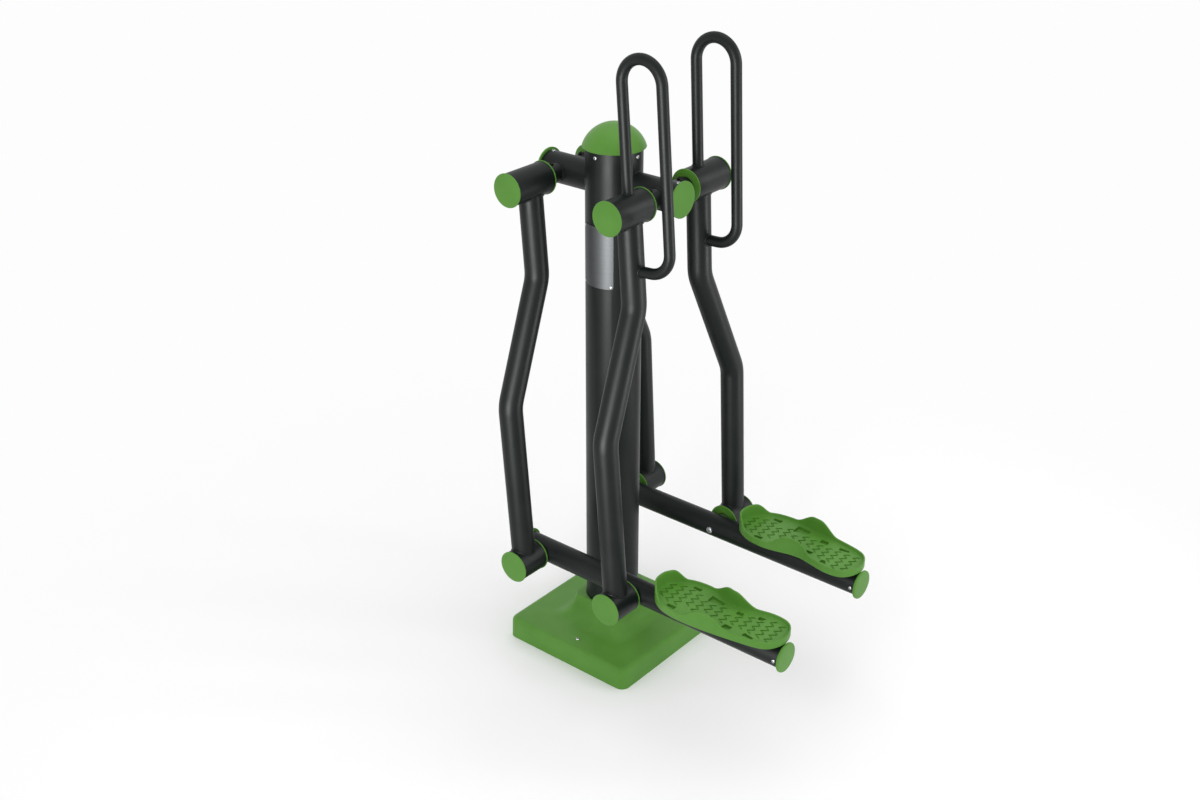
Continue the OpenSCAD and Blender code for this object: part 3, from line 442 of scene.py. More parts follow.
def square_ring(half, r, z, corner=12, straight=10):
    """A level square ring with round corners."""
    out = []
    for q in range(4):
        turn = Matrix.Rotation(q * QUARTER, 3, "Z")
        flat = half - r
        run = [Vector((half, -flat + 2 * flat * k / straight, z)) for k in range(straight)]
        bow = [Vector((flat + r * math.cos(t), flat + r * math.sin(t), z))
               for t in angles(QUARTER, corner)]
        out += [tuple(turn @ p) for p in run + bow]
    return out


def round_ring(like, r, z):
    """A level round ring whose points stand at the angles of another ring's."""
    return [(r * math.cos(a), r * math.sin(a), z) for a in (math.atan2(p[1], p[0]) for p in like)]


def cover_rows(inset):
    """The rows of the cover's skin from the ground to the ring, drawn thinner by an inset."""
    middle = COVER_HALF - COVER_DRAFT - COVER_EDGE_R
    bend = COVER_EDGE_R - inset
    rows = [square_ring(COVER_HALF - inset, COVER_CORNER_R - inset, 0),
            square_ring(COVER_HALF - FOOT_DRAFT - inset, COVER_CORNER_R - inset, FOOT_H)]
    for t in angles(QUARTER, 10, True):
        rows.append(square_ring(middle + bend * math.cos(t),
                                COVER_CORNER_R - COVER_EDGE_R + bend * math.cos(t),
                                COVER_SIDE_H - COVER_EDGE_R + bend * math.sin(t)))
    for share, rise in smooth_curve([FLANK[0]] + FLANK + [FLANK[-1]], 3)[3:-6]:
        half = RING_HALF + FLANK_W * (1 - share)
        along = (half - RING_HALF) / (COVER_HALF - RING_HALF)
        corner = RING_CORNER_R + (COVER_CORNER_R - RING_CORNER_R) * along
        climb = (COVER_RIM_H - RING_EDGE - COVER_SIDE_H) * rise
        rows.append(square_ring(half - inset, corner - inset, COVER_SIDE_H + climb - inset))
    return rows


outside, inside = cover_rows(0), cover_rows(COVER_WALL)
like = outside[0]
lip = []
for t in angles(QUARTER, 4, True)[1:]:
    lip.append(square_ring(RING_HALF - RING_EDGE * (1 - math.cos(t)), RING_CORNER_R,
                           COVER_RIM_H - RING_EDGE * (1 - math.sin(t))))
mouth = [round_ring(like, COVER_BORE_R + BORE_EDGE, COVER_RIM_H),
         round_ring(like, COVER_BORE_R, COVER_RIM_H - BORE_EDGE),
         round_ring(like, COVER_BORE_R, COVER_RIM_H - COVER_WALL - RING_EDGE)]
cover = shape("base_cover_shell", *loft(outside + lip + mouth + inside[::-1], close=True))
pillars = [pipe("pillar", PILLAR_R, PILLAR_HOLE_R, PILLAR_LOW, PILLAR_TOP,
                Matrix.Translation((s * COVER_SCREW[0], s * COVER_SCREW[1], 0))) for s in (-1, 1)]
cover = joined("base_cover_shell", [cover] + pillars)
dress(cover, "frame", green, ["base_cover"], 30)


# The post cap: a dome with a rolled rim, and a skirt inside the post

DOME_R, DOME_H, DOME_WALL, DOME_ROLL = POST_R + 7.7, 58.0, 3.0, 1.2
DOME_EDGE = 0.35
SKIRT_R, SKIRT_WALL, SKIRT_DEPTH, SKIRT_TOP = POST_R - 4.05, 3.0, 26.0, 3.0
post_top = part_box("post")[1].z / MM
ball = (DOME_R ** 2 + DOME_H ** 2) / (2 * DOME_H)
reach = math.asin(DOME_R / ball)


def on_dome(r, t):
    """Radius and height of a point on a ball of radius r at the dome's centre, t from its top."""
    return max(r * math.sin(t), POLE_R), DOME_H - ball + r * math.cos(t)


dome = [(SKIRT_R, -SKIRT_DEPTH), (SKIRT_R, 0), (DOME_R - DOME_ROLL, 0),
        (DOME_R - DOME_EDGE, DOME_EDGE), (DOME_R, DOME_ROLL)]
for k in range(1, 25):
    t = reach * (1 - k / 24)
    r, h = on_dome(ball, t)
    dome.append((r, h + DOME_ROLL * (t / reach) ** 3))
# The hollow side, from its top to where the skirt's wall starts
dome += [on_dome(ball - DOME_WALL, t) for t in angles(reach, 12)[:9]]
dome += [(SKIRT_R - SKIRT_WALL, SKIRT_TOP), (SKIRT_R - SKIRT_WALL, -SKIRT_DEPTH)]
dome = shape("post_cap_dome", *turned_profile(dome, 128, True),
             Matrix.Translation((0, 0, post_top)))
dress(dome, "frame", green, ["post_cap"], 40)


# Tube caps

PLUG_WALL, CAP_FOOT_EDGE, CAP_HOLE_EDGE = 3.0, 0.4, 0.6


def end_cap(rim_r, t, plug_r, plug_len, hole_r=0.0, edge=1.2, crown=0.5):
    """A moulded cap, its face to +Z, its plug below z = 0, with a rounded rim and a low crown."""
    inner = plug_r - PLUG_WALL
    profile = [(inner, -plug_len), (plug_r, -plug_len), (plug_r, 0), (rim_r - CAP_FOOT_EDGE, 0),
               (rim_r, CAP_FOOT_EDGE)]
    for a in angles(QUARTER, 4, True):
        profile.append((rim_r - edge * (1 - math.cos(a)), t - crown - edge * (1 - math.sin(a))))
    if hole_r:
        profile += [(hole_r + CAP_HOLE_EDGE, t - crown), (hole_r, t - crown - CAP_HOLE_EDGE),
                    (hole_r, 0), (inner, 0)]
        return turned_profile(profile, 96, True)
    for share in (0.75, 0.5, 0.25, 0.0003):
        profile.append((rim_r * share, t - crown * share ** 2))
    profile += [(POLE_R, 0), (inner, 0)]
    return turned_profile(profile, 96, True)


for side in SIDES:
    for end in ENDS:
        parts = []
        for x, length, drop in ((UPPER_HUB_X, UPPER_HUB_LEN, 0),
                                (LOWER_HUB_X, LOWER_HUB_LEN, ARM_LENGTH)):
            seat = on_arm(side, end) @ Matrix.Translation((0, 0, -drop))
            sizes = HUB_R + CAP_LIP, CAP_T, BEARING_R - PLUG_GAP, HUB_PLUG_LEN
            outer, inner = end_cap(*sizes), end_cap(*sizes, COLLAR_HOLE_R, crown=0)
            parts.append(shape("cap", *outer, seat @ aim((x + length - CAP_T, 0, 0), (1, 0, 0))))
            parts.append(shape("cap", *inner, seat @ aim((x + CAP_T, 0, 0), (-1, 0, 0))))
        node = f"{side}_{end}_hub_caps"
        dress(joined(node + "_moulded", parts), f"{side}_{end}_arm", green,
              [node], 40)

CROSSBAR_CAP_LIP, BEAM_CAP_LIP, TUBE_CAP_EDGE, TUBE_CAP_CROWN = 6.4, 7.3, 2.0, 0.8
for end, way in (("front", -1), ("rear", 1)):
    cap = end_cap(CROSSBAR_R + CROSSBAR_CAP_LIP, TUBE_CAP_T, CROSSBAR_R - CROSSBAR_WALL - PLUG_GAP,
                  PLUG_LEN, edge=TUBE_CAP_EDGE, crown=TUBE_CAP_CROWN)
    seat = aim((0, way * CROSSBAR_END, pivot_z), (0, way, 0))
    dress(shape(f"crossbar_{end}_cap_moulded", *cap, seat), "frame", green,
          [f"crossbar_{end}_cap"], 40)

for side in SIDES:
    cap = end_cap(BEAM_R + BEAM_CAP_LIP, TUBE_CAP_T, BEAM_R - BEAM_WALL - PLUG_GAP, PLUG_LEN,
                  edge=TUBE_CAP_EDGE, crown=TUBE_CAP_CROWN)
    front = shape("cap", *cap, on_beam(side) @ aim((0, -BEAM_FRONT, 0), (0, -1, 0)))
    rear = shape("cap", *cap, on_beam(side) @ aim((0, PIVOT_SPREAD + BEAM_REAR, 0), (0, 1, 0)))
    dress(joined(f"{side}_beam_caps_moulded", [front, rear]), f"{side}_beam", green,
          [f"{side}_beam_caps"], 40)


# Welds: a rippled bead wherever a tube meets a tube or a hub, under the powder coat

# Millimetres, but for the share by which a ripple swells the bead
BEAD_R, BEAD_RIPPLE, BEAD_SWELL = 2.3, 4.5, 0.12


def across(r, big_r, turns=72):
    """Where a tube of radius r along +Z comes out of a bigger one along X, both at the origin."""
    return [Vector((r * math.cos(a), r * math.sin(a),
                    math.sqrt(big_r ** 2 - (r * math.sin(a)) ** 2))) for a in angles(FULL, turns)]


def crossing(point, turn, axis):
    """Takes a seam drawn on a tube along X to a point of a tube that lies another way."""
    return (Matrix.Translation(point) @ Matrix.Rotation(turn, 4, axis)
            @ Matrix.Rotation(QUARTER, 4, "Z"))


def bead(path, place):
    """A weld bead along a closed path, with the ripples that the welder's pauses leave."""
    rings, run = [], 0.0
    for i, p in enumerate(path):
        ahead, behind = path[(i + 1) % len(path)], path[i - 1]
        along = (ahead - behind).normalized()
        out = Vector((p.x, p.y, 0)).normalized()
        up = along.cross(out).normalized()
        run += (p - behind).length
        r = BEAD_R * (1 + BEAD_SWELL * math.sin(FULL * run / BEAD_RIPPLE))
        rings.append([p + out * r * math.cos(t) + up * r * math.sin(t) for t in angles(FULL, 8)])
    return outward(shape("bead", *loft(rings, close=True), place))


turned_over = Matrix.Rotation(math.pi, 4, "X")
for side in SIDES:
    for end in ENDS:
        seat = on_arm(side, end)
        top = seat @ Matrix.Translation((ARM_TOP_X, 0, 0))
        foot = seat @ Matrix.Translation((ARM_FOOT_X, 0, -ARM_LENGTH))
        beads = [bead(across(ARM_R, HUB_R), top @ turned_over), bead(across(ARM_R, HUB_R), foot)]
        if end == "front":
            beads.append(bead(across(HANDLE_R, HUB_R), top))
            beads.append(bead(across(HANDLE_R, ARM_R),
                              top @ crossing((0, 0, -HANDLE_DROP), QUARTER, "X")))
        dress(joined(f"{side}_{end}_arm_welds", beads), f"{side}_{end}_arm", graphite,
              (), 60)
beads = [bead(across(SLEEVE_R, CROSSBAR_R), crossing((0, y, pivot_z), way * QUARTER, "Y"))
         for y in (-PIVOT_SPREAD / 2, PIVOT_SPREAD / 2) for way in (-1, 1)]
beads += [bead(across(CROSSBAR_R, POST_R), crossing((0, 0, pivot_z), way * QUARTER, "X"))
          for way in (-1, 1)]
dress(joined("frame_welds", beads), "frame", graphite, (), 60)


# Screws, bolts and rivets: one Geometry Nodes tree sets a head at each point, along its own aim

fixings, given = geometry_tree("Set fixings", [
    ("Fixing", "Object"), ("Size", "Float"), ("Turn seed", "Int"), ("Finish", "Material")])
head = add(fixings, "GeometryNodeObjectInfo", {"transform_space": "ORIGINAL"},
           {"Object": given.outputs[1]})
aimed = add(fixings, "GeometryNodeInputNamedAttribute",
            {"data_type": "FLOAT_VECTOR", "Name": "aim"})
upright = add(fixings, "FunctionNodeAlignRotationToVector", {"axis": "Z"},
              {"Vector": aimed.outputs[0]})
# Each head stops at its own angle when it is driven home
spin = add(fixings, "FunctionNodeRandomValue", {"data_type": "FLOAT", 2: 0.0, 3: 6.283},
           {"Seed": given.outputs[3]})
about = add(fixings, "ShaderNodeCombineXYZ", None, {"Z": spin.outputs[1]})
turned = add(fixings, "FunctionNodeEulerToRotation", None, {0: about.outputs[0]})
both = add(fixings, "FunctionNodeRotateRotation", {"rotation_space": "LOCAL"},
           {0: upright.outputs[0], 1: turned.outputs[0]})
placed = add(fixings, "GeometryNodeInstanceOnPoints", None,
             {"Points": given.outputs[0], "Instance": head.outputs["Geometry"],
              "Rotation": both.outputs[0], "Scale": given.outputs[2]})
real = add(fixings, "GeometryNodeRealizeInstances", None, {0: placed.outputs[0]})
painted = add(fixings, "GeometryNodeSetMaterial", None,
              {0: real.outputs[0], "Material": given.outputs[4]})
add(fixings, "NodeGroupOutput", None, {0: painted.outputs[0]})


# A button head: as shares of its height, its straight side, and how far its socket's foot and
# point go below the seat. Its top's radius as a share of the socket's width, and its crown's draw
HEAD_SIDE, SOCKET_FOOT, SOCKET_POINT, HEAD_TOP, HEAD_DRAW = 0.28, 0.24, 0.28, 0.72, 0.1
SOCKET_EDGE, STEM_R, STEM_EDGE = 0.25, 2.0, 0.25


def socket_head(name, head_r, head_h, flats, shank_r, shank_len, sink=1.5):
    """A button head with a hexagon socket, on a plain shank, seated at z = 0 and sunk a little."""
    steps = 36
    turns = angles(FULL, steps)
    hexagon = [flats / 2 / math.cos((a + math.pi / 6) % (math.pi / 3) - math.pi / 6) for a in turns]
    rows = [([shank_r] * steps, -shank_len), ([shank_r] * steps, -sink), ([head_r] * steps, -sink),
            ([head_r] * steps, head_h * HEAD_SIDE)]
    for a in angles(QUARTER, 6, True)[1:]:
        r = (head_r - (head_r - flats * HEAD_TOP) * (1 - math.cos(a))
             - HEAD_DRAW * head_r * math.sin(a) ** 4)
        rows.append(([r] * steps, head_h * (HEAD_SIDE + (1 - HEAD_SIDE) * math.sin(a))))
    rows += [([r + SOCKET_EDGE for r in hexagon], head_h), (hexagon, head_h - SOCKET_EDGE),
             (hexagon, -head_h * SOCKET_FOOT), ([0.05] * steps, -head_h * SOCKET_POINT)]
    rings = [[(r * math.cos(a), r * math.sin(a), z) for r, a in zip(radii, turns)]
             for radii, z in rows]
    return shape(name, *loft(rings))


def rivet_head(name, head_r, head_h, shank_len):
    """A blind rivet's low dome with the dimple of its pulled stem."""
    rows = [(STEM_R, -shank_len), (STEM_R, 0), (head_r, 0), (head_r, STEM_EDGE)]
    rows += [(head_r * math.cos(a) + 0.02, STEM_EDGE + (head_h - STEM_EDGE) * math.sin(a))
             for a in angles(QUARTER, 6)[1:5]]
    rows += [(1.0, head_h), (0.9, head_h - 0.4), (0.05, head_h - 0.45)]
    return shape(name, *turned_profile(rows, 24))


def set_fixings(name, kind, spots, body, material, replaced, seed):
    """Sets a fixing at each spot (point and aim in millimetres) and gives one piece."""
    points = shape(name, [p for p, _ in spots], [])
    way = points.data.attributes.new("aim", "FLOAT_VECTOR", "POINT")
    way.data.foreach_set("vector", [v for _, a in spots for v in a])
    use_tree(points, fixings, kind, 1.0, seed, material)
    make_real(points)
    dress(points, body, material, replaced, 30)


# Each kind: head radius and height, socket across flats, shank radius and length, and seat depth
cap_screw = socket_head("kind_cap_screw", 4.75, 3.0, 4.0, 2.5, 8)
cover_screw = socket_head("kind_cover_screw", 4.75, 3.0, 4.0, 2.5, 54, 0)
pivot_bolt = socket_head("kind_pivot_bolt", 8.75, 5.0, 8.0, 5.0, 28)
lock_bolt = socket_head("kind_lock_bolt", 6.5, 5.3, 5.0, 4.0, 12, 1)
plate_bolt = socket_head("kind_plate_bolt", 6.5, 5.3, 5.0, 4.0, 20, 0)
rivet = rivet_head("kind_rivet", 3.2, 1.2, 5)
kinds = [cap_screw, cover_screw, pivot_bolt, lock_bolt, plate_bolt, rivet]

around = [(1, 0), (0, 1), (-1, 0), (0, -1)]
set_fixings("base_cover_screw_set", cover_screw,
            [((s * COVER_SCREW[0], s * COVER_SCREW[1], COVER_SIDE_H), (0, 0, 1)) for s in (-1, 1)],
            "frame", stainless, ["base_cover_screws"], 1)
set_fixings("post_cap_screw_set", cap_screw,
            [((POST_R * x, POST_R * y, post_top - POST_SCREW_DROP), (x, y, 0)) for x, y in around],
            "frame", stainless, ["post_cap_screws"], 2)
set_fixings("crossbar_cap_screw_set", cap_screw,
            [((0, way * (CROSSBAR_END - CAP_SCREW_IN), pivot_z + CROSSBAR_R), (0, 0, 1))
             for way in (-1, 1)],
            "frame", stainless, ["crossbar_cap_screws"], 3)
set_fixings("axle_lock_bolt_set", lock_bolt,
            [((x, y, pivot_z + SLEEVE_R), (0, 0, 1)) for x in (-LOCK_BOLT_X, LOCK_BOLT_X)
             for y in (-PIVOT_SPREAD / 2, PIVOT_SPREAD / 2)],
            "frame", black_oxide, ["axle_lock_bolts"], 4)
for side, way in SIDES.items():
    seat = on_beam(side)
    spots = [(tuple(seat @ Vector((s * BEAM_R, y, 0))), (way * s, 0, 0))
             for y in (CAP_SCREW_IN - BEAM_FRONT, PIVOT_SPREAD + BEAM_REAR - CAP_SCREW_IN)
             for s in (-1, 1)]
    set_fixings(f"{side}_beam_cap_screw_set", cap_screw, spots, f"{side}_beam", stainless,
                [f"{side}_beam_cap_screws"], 5)
    spots = [(tuple(seat @ Vector((-BEAM_R, y, 0))), (-way, 0, 0)) for y in (0, PIVOT_SPREAD)]
    set_fixings(f"{side}_pivot_bolt_set", pivot_bolt, spots, f"{side}_beam", stainless,
                [f"{side}_pivot_bolts"], 6)
    spots = [(tuple(seat @ Vector((x, -PLATE_TOE - share * PLATE_LEN, BAR_FOOT))), (0, 0, -1))
             for share in PLATE_BOLT_SHARES for x in (-PLATE_BOLT_X, PLATE_BOLT_X)]
    set_fixings(f"{side}_plate_bolt_set", plate_bolt, spots, f"{side}_beam", stainless,
                [f"{side}_plate_bolts"], 7)


# The information plate: bare brushed sheet, bent round the post, with round corners and four rivets

INFO_LOW, INFO_H, INFO_HALF, INFO_T, INFO_CORNER = 1041.0, 156.0, math.radians(38.5), 1.0, 7.0
INFO_GAP, INFO_EDGE, INFO_STRIPS, RIVET_IN = 0.05, 0.3, 48, 6.0
sheet_r = POST_R + INFO_GAP
columns = []
half_w = INFO_HALF * sheet_r
for a in angles(math.pi, INFO_STRIPS, True):
    u = -half_w + 2 * half_w * (0.5 - 0.5 * math.cos(a))
    near = max(INFO_CORNER - (half_w - abs(u)), 0)
    cut = INFO_CORNER - math.sqrt(max(INFO_CORNER ** 2 - near ** 2, 0))
    columns.append((math.pi + u / sheet_r, INFO_LOW + cut, INFO_LOW + INFO_H - cut))
rings, face_r = [], sheet_r + INFO_T
for a, low, high in columns:
    rings.append([(r * math.cos(a), r * math.sin(a), z) for r, z in (
        (sheet_r, low), (sheet_r, high), (face_r - INFO_EDGE, high), (face_r, high - INFO_EDGE),
        (face_r, low + INFO_EDGE), (face_r - INFO_EDGE, low))])
plate = outward(shape("info_plate_sheet", *loft(rings)))
dress(plate, "frame", brushed, ["info_plate"], 30)
spots = []
for s in (-1, 1):
    a = math.pi + s * (INFO_HALF - RIVET_IN / POST_R)
    out = Vector((math.cos(a), math.sin(a), 0))
    spots += [(tuple(out * face_r + Vector((0, 0, z))), tuple(out))
              for z in (INFO_LOW + RIVET_IN, INFO_LOW + INFO_H - RIVET_IN)]
set_fixings("info_plate_rivet_set", rivet, spots, "frame", stainless,
            ["info_plate_rivets"], 8)
for kind in kinds:
    bpy.data.objects.remove(kind)


# The footplates

# Outline, toe first: share of the half breadth out from the beam, share of the length from the toe
SOLE = [(0.07, 0), (0.37, 0.01), (0.64, 0.045), (0.88, 0.10), (1.05, 0.175), (1.13, 0.27),
        (1.13, 0.375), (1.09, 0.49), (1.01, 0.615), (0.91, 0.74), (0.80, 0.86), (0.65, 0.935),
        (0.37, 0.98), (0, 1), (-0.37, 0.985), (-0.67, 0.945), (-0.81, 0.885), (-0.83, 0.795),
        (-0.73, 0.69), (-0.63, 0.59), (-0.65, 0.50), (-0.75, 0.415), (-0.83, 0.34),
        (-0.85, 0.26), (-0.80, 0.18), (-0.68, 0.115), (-0.47, 0.05), (-0.20, 0.01)]
# The pockets' corners: millimetres out from the beam and from the toe
POCKETS = [((54, 62), (63, 62), (66, 87), (52, 87)),
           ((-46, 68), (-38, 68), (-35, 92), (-48, 92)),
           ((-42, 126), (-15, 128), (-22, 169), (-33, 170)),
           ((38, 134), (71, 133), (66, 173), (50, 173)),
           ((-27, 211), (-14, 212), (-14, 233), (-27, 228)),
           ((36, 217), (53, 215), (52, 237), (37, 240)),
           ((-41, 264), (-28, 265), (-28, 276), (-42, 284)),
           ((36, 274), (49, 272), (48, 302), (42, 302))]
# The grip's rows of zigzag grooves from the toe guard to the heel: where each starts and ends, and
# where one of its peaks is, in millimetres out from the beam
GRIP_ROWS = [(-30, 42, 6), (-46, 52, -4), (-31, 46, -3.5), (-28, 48, 2.5), (-10, 45, -2.5),
             (-12, 32, -3), (-20, 44, 10.5), (-12, 48, 9), (-8, 28, -1.5), (-31, 31, 0.3),
             (-26, 30, 2.5), (-50, 46, 4), (-42, 40, 7)]
GRIP_FIRST, GRIP_PITCH, ZIG, ZAG, GROOVE_W, GROOVE_DEPTH = 24.0, 25.5, 20.5, 11.5, 4.9, 2.8
# The gap between two grooves of a row, and how far past the row's end half a groove may reach
GROOVE_GAP, GRIP_PAST = 0.7, 4.0


def ease(x, a, b):
    """A smooth step from 0 to 1 while x goes from a to b."""
    t = min(max((x - a) / (b - a), 0), 1)
    return t * t * (3 - 2 * t)


def edge_height(share):
    """Height of the footplate's edge over its underside, at a share of its length."""
    toe = 1 - ease(share, 0.035, 0.125)
    wing = ease(share, 0.315, 0.475) * (1 - ease(share, 0.53, 0.69))
    return EDGE_H + (TOE_H - EDGE_H) * toe + (WING_H - EDGE_H) * wing


sole = [(x * PLATE_HALF, -y * PLATE_LEN) for x, y in smooth_curve(SOLE, 6)][::-1]


def inward(line, d):
    """A closed line that runs anticlockwise, drawn inward by a distance."""
    out = []
    for i, p in enumerate(line):
        along = Vector(line[(i + 1) % len(line)]) - Vector(line[i - 1])
        out.append(Vector(p) + d * Vector((-along.y, along.x)).normalized())
    return out


WALL, SLOPE, POCKET_WALL, POCKET_BOTTOM, POCKET_CORNER_R = 5.0, 3.0, 3.0, 2.5, 2.5
# How far over the tread the cutters of the pockets and grooves reach, and how far under it the
# pockets' walls end
POCKET_CUT, GROOVE_CUT, BOX_UNDER = 9.0, 3.0, 2.0
BOSS_R, BOSS_HOLE_R, BOSS_H = 8.0, 4.05, 7.5
# Rows of the shell from the tread's underside, down, round the rim and back down to the tread:
# inset, height over the underside, and the share of the rim's extra height that the row takes
ROWS = [(WALL + SLOPE, FLOOR_H - WALL, 0), (WALL + 0.4, FLOOR_H - WALL - 0.3, 0),
        (WALL, FLOOR_H - WALL - 1.5, 0), (WALL, 0, 0), (1.6, 0, 0), (0.5, 0.4, 0), (0, 1.6, 0),
        (0, FLOOR_H - 3, 0.1), (0, EDGE_H - 7, 0.5), (0, EDGE_H - 2.0, 1), (0.3, EDGE_H - 0.9, 1),
        (1.0, EDGE_H - 0.2, 1), (2.0, EDGE_H, 1), (3.0, EDGE_H - 0.1, 1), (4.0, EDGE_H - 0.7, 1),
        (4.6, EDGE_H - 1.8, 0.98), (5.0, FLOOR_H + 4.2, 0.8), (5.5, FLOOR_H + 2.6, 0.35),
        (6.2, FLOOR_H + 1.1, 0.1), (7.2, FLOOR_H + 0.3, 0.01), (WALL + SLOPE + 0.5, FLOOR_H, 0)]


def rounded(corners, r):
    """A closed line with each corner rounded to a radius, roughly."""
    out = []
    for i, p in enumerate(corners):
        p, before, after = (Vector(q) for q in (p, corners[i - 1], corners[(i + 1) % len(corners)]))
        a, b = (before - p).normalized() * r, (after - p).normalized() * r
        out += [p + a * (1 - t) ** 2 + b * t ** 2 for t in (0, 0.25, 0.5, 0.75, 1)]
    return out


def pocket_line(corners, wall=0.0):
    """A pocket's outline on the sole, anticlockwise, drawn wider by a wall."""
    return inward(rounded([(x, -y) for x, y in corners[::-1]], POCKET_CORNER_R), -wall)


def prism(name, line, low, high):
    """An upright prism on a closed line that runs anticlockwise."""
    return shape(name, *loft([[(p[0], p[1], z) for p in line] for z in (low, high)]))


# The grip pattern: chevron grooves, set by Geometry Nodes in rows that run across the sole
grooves, given = geometry_tree("Cut grip grooves", [("Groove", "Object"), ("Size", "Float")])
mark = add(grooves, "GeometryNodeObjectInfo", {"transform_space": "ORIGINAL"},
           {"Object": given.outputs[1]})
placed = add(grooves, "GeometryNodeInstanceOnPoints", None,
             {"Points": given.outputs[0], "Instance": mark.outputs["Geometry"],
              "Scale": given.outputs[2]})
real = add(grooves, "GeometryNodeRealizeInstances", None, {0: placed.outputs[0]})
painted = add(grooves, "GeometryNodeSetMaterial", {"Material": green}, {0: real.outputs[0]})
add(grooves, "NodeGroupOutput", None, {0: painted.outputs[0]})


def chevron():
    """The outline of one groove, anticlockwise: a stroke up to the peak and one down again."""
    half = (ZIG - GROOVE_GAP) / 2
    off = GROOVE_W / 2 * math.hypot(half, ZAG) / half
    low, high = -ZAG / 2, ZAG / 2
    return [(half, low - off), (half, low + off), (0, high + off), (-half, low + off),
            (-half, low - off), (0, high - off)]


def grip_points():
    """Where the chevrons go: along each row, as many as fit of six on either side of its peak."""
    out = []
    for k, (start, end, peak) in enumerate(GRIP_ROWS):
        out += [(peak + n * ZIG, -GRIP_FIRST - k * GRIP_PITCH, 0) for n in range(-6, 7)
                if start - GRIP_PAST <= peak + (n - 0.5) * ZIG
                and peak + (n + 0.5) * ZIG <= end + GRIP_PAST]
    return out


def combine(piece, others, operation):
    """Adds other solids to a piece, or cuts them out of it."""
    tool = joined("tool", others)
    made = piece.modifiers.new("Combine", "BOOLEAN")
    made.operation, made.solver, made.object = operation, "EXACT", tool
    make_real(piece)
    bpy.data.objects.remove(tool)


def moulded_footplate():
    """The right footplate round its own toe, beam and underside, in metres."""
    rings = []
    for inset, height, take in ROWS:
        ring = inward(sole, inset)
        rings.append([(p.x, p.y, height + take * (edge_height(-q[1] / PLATE_LEN) - EDGE_H))
                      for p, q in zip(ring, sole)])
    # The first and last rows are capped: the tread and its underside, and the pockets hang from it
    piece = shape("footplate", *loft(rings))
    foot = FLOOR_H - POCKET_DEPTH
    combine(piece, [prism("box", pocket_line(p, POCKET_WALL), foot - POCKET_BOTTOM,
                          FLOOR_H - BOX_UNDER) for p in POCKETS], "UNION")
    hollows = [prism("pocket", pocket_line(p), foot, FLOOR_H + POCKET_CUT) for p in POCKETS]
    groove = prism("groove", chevron(), FLOOR_H - GROOVE_DEPTH, FLOOR_H + GROOVE_CUT)
    grip = shape("grip", grip_points(), [])
    use_tree(grip, grooves, groove, 1.0)
    make_real(grip)
    bpy.data.objects.remove(groove)
    # In two steps, because the grooves cross the pockets
    combine(piece, hollows, "DIFFERENCE")
    combine(piece, [grip], "DIFFERENCE")
    bosses = [pipe("boss", BOSS_R, BOSS_HOLE_R, 0, BOSS_H,
                   Matrix.Translation((x, -share * PLATE_LEN, 0)))
              for share in PLATE_BOLT_SHARES for x in (-PLATE_BOLT_X, PLATE_BOLT_X)]
    return joined("footplate", [piece] + bosses)


for side in SIDES:
    piece = moulded_footplate()
    seat = on_beam(side) @ Matrix.Translation((0, -PLATE_TOE, PLATE_Z))
    metres = Matrix.Scale(MM, 4) @ seat @ Matrix.Scale(1 / MM, 4)
    piece.data.transform(metres)
    if seat.determinant() < 0:
        piece.data.flip_normals()
    piece.name = f"{side}_footplate_moulded"
    dress(piece, f"{side}_beam", green, [f"{side}_footplate"], 34)


# The floor, the light and the camera

# Shares of white: the floor and the backdrop where they show, and the world's light on the pieces
FLOOR_SHOWN, WHITE_SHOWN, WORLD_LIGHT = 0.97, 0.982, 0.9
# Metres from the middle: where the floor starts and ends to fade to the backdrop, and its rim
FADE_FROM, FADE_TO, FLOOR_R = 0.9, 2.0, 12.0


def backdrop_rays(tree):
    """1 on the rays that show the backdrop: the camera's, and those off metal and through glass."""
    path = add(tree, "ShaderNodeLightPath")
    either = add(tree, "ShaderNodeMath", {"operation": "MAXIMUM"},
                 {0: path.outputs["Is Camera Ray"], 1: path.outputs["Is Glossy Ray"]})
    either = add(tree, "ShaderNodeMath", {"operation": "MAXIMUM"},
                 {0: either.outputs[0], 1: path.outputs["Is Transmission Ray"]})
    return either.outputs[0]


# Matt painted board with faint clouds of shade about 330 mm across
floor, tree, surface, place = finish("Pale studio floor", Roughness=0.9, Specular_IOR_Level=0.1)
seen = backdrop_rays(tree)
clouds = add(tree, "ShaderNodeTexNoise", {"Scale": 3.0}, {"Vector": place})
bare = add(tree, "ShaderNodeMix",
           {"data_type": "RGBA", 6: linear("#eeeeee"), 7: linear("#f1f1f1")},
           {0: clouds.outputs[0]})
shown = add(tree, "ShaderNodeMix", {"data_type": "RGBA", 7: (FLOOR_SHOWN,) * 3 + (1,)},
            {0: seen, 6: bare.outputs[2]})
feed(tree, surface, {"Base Color": shown.outputs[2]})
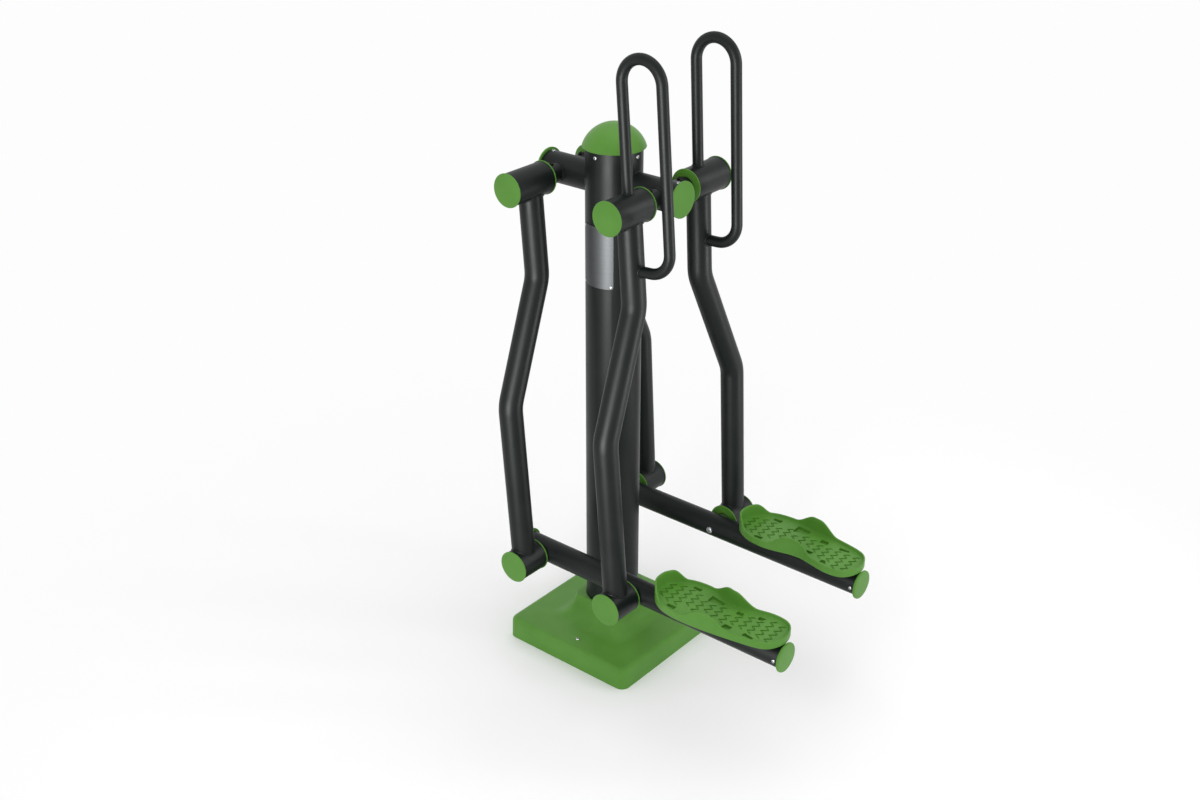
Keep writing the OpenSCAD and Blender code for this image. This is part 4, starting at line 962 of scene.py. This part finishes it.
# Away from the machine and its shadow the floor runs out into the plain white of the backdrop
away = add(tree, "ShaderNodeVectorMath", {"operation": "LENGTH"}, {0: place})
fade = add(tree, "ShaderNodeMapRange",
           {"interpolation_type": "SMOOTHSTEP", "From Min": FADE_FROM, "From Max": FADE_TO},
           {"Value": away.outputs["Value"]})
fade = add(tree, "ShaderNodeMath", {"operation": "MULTIPLY"}, {0: fade.outputs[0], 1: seen})
plain = add(tree, "ShaderNodeEmission", {"Color": (WHITE_SHOWN,) * 3 + (1,), "Strength": 1.0})
either = add(tree, "ShaderNodeMixShader", None,
             {0: fade.outputs[0], 1: surface.outputs[0], 2: plain.outputs[0]})
feed(tree, tree.nodes["Material Output"], {"Surface": either.outputs[0]})
rim = [(FLOOR_R / MM * math.cos(a), FLOOR_R / MM * math.sin(a), 0) for a in angles(FULL, 64)]
ground = shape("floor", rim, [tuple(range(64))])
ground.data.materials.append(floor)

world = bpy.data.worlds.new("Studio")
bpy.context.scene.world = world
world.use_nodes = True
tree = world.node_tree
tree.nodes.clear()
strength = add(tree, "ShaderNodeMapRange", {"To Min": WORLD_LIGHT, "To Max": WHITE_SHOWN},
               {"Value": backdrop_rays(tree)})
back = add(tree, "ShaderNodeBackground", {"Color": (1, 1, 1, 1)},
           {"Strength": strength.outputs[0]})
add(tree, "ShaderNodeOutputWorld", None, {"Surface": back.outputs[0]})


# The green mouldings, which the boxes that draw the streaks on the painted tubes leave out
mouldings = bpy.data.collections.new("Mouldings without the sheen")
for piece in bpy.data.objects:
    if piece.type == "MESH" and green in piece.data.materials[:]:
        mouldings.objects.link(piece)
for entry in mouldings.collection_objects:
    entry.light_linking.link_state = "EXCLUDE"


def lamp(name, place, target, width, height, power, plain=True, sheen=True):
    """A soft box, in metres and watts, that gives plain light, sheen or both."""
    light = bpy.data.lights.new(name, "AREA")
    light.shape, light.size, light.size_y, light.energy = "RECTANGLE", width, height, power
    made = bpy.data.objects.new(name, light)
    bpy.context.scene.collection.objects.link(made)
    made.location = place
    made.rotation_euler = (Vector(target) - Vector(place)).to_track_quat("-Z", "Y").to_euler()
    made.visible_camera, made.visible_diffuse, made.visible_glossy = False, plain, sheen
    if not plain:
        made.light_linking.receiver_collection = mouldings


lamp("Strip light left", (-3.2, -1.2, 2.2), (0, 0, 0.9), 0.5, 2.4, 22, sheen=False)
lamp("Strip light right", (1.9, -3.0, 1.9), (0, 0, 0.9), 0.5, 2.4, 22, sheen=False)
lamp("Soft box above", (0.4, -0.2, 4.2), (0, 0, 0.4), 2.4, 2.4, 11)
lamp("Low sheen box left", (-2.5, -0.7, 0.85), (0, 0, 0.85), 1.2, 1.65, 128, plain=False)
lamp("High sheen box right", (2.0, -2.24, 2.15), (0, 0, 1.25), 1.4, 1.5, 27, plain=False)
lamp("Low sheen box right", (1.05, -2.38, 0.5), (0, 0, 0.6), 0.7, 0.95, 30, plain=False)

# The photograph's view: how many degrees the camera looks down, and how far it stands round
LOOKS_DOWN, STANDS_ROUND = 26.786, 39.564
camera = bpy.data.cameras.new("Camera")
camera.lens, camera.sensor_width = 46.12, 36
view = bpy.data.objects.new("Camera", camera)
bpy.context.scene.collection.objects.link(view)
view.location = (-2.72863, -2.21085, 2.48028)
view.rotation_euler = (math.radians(90 - LOOKS_DOWN), 0, math.radians(STANDS_ROUND - 90))
bpy.context.scene.camera = view
bpy.context.scene.view_settings.view_transform = "Standard"
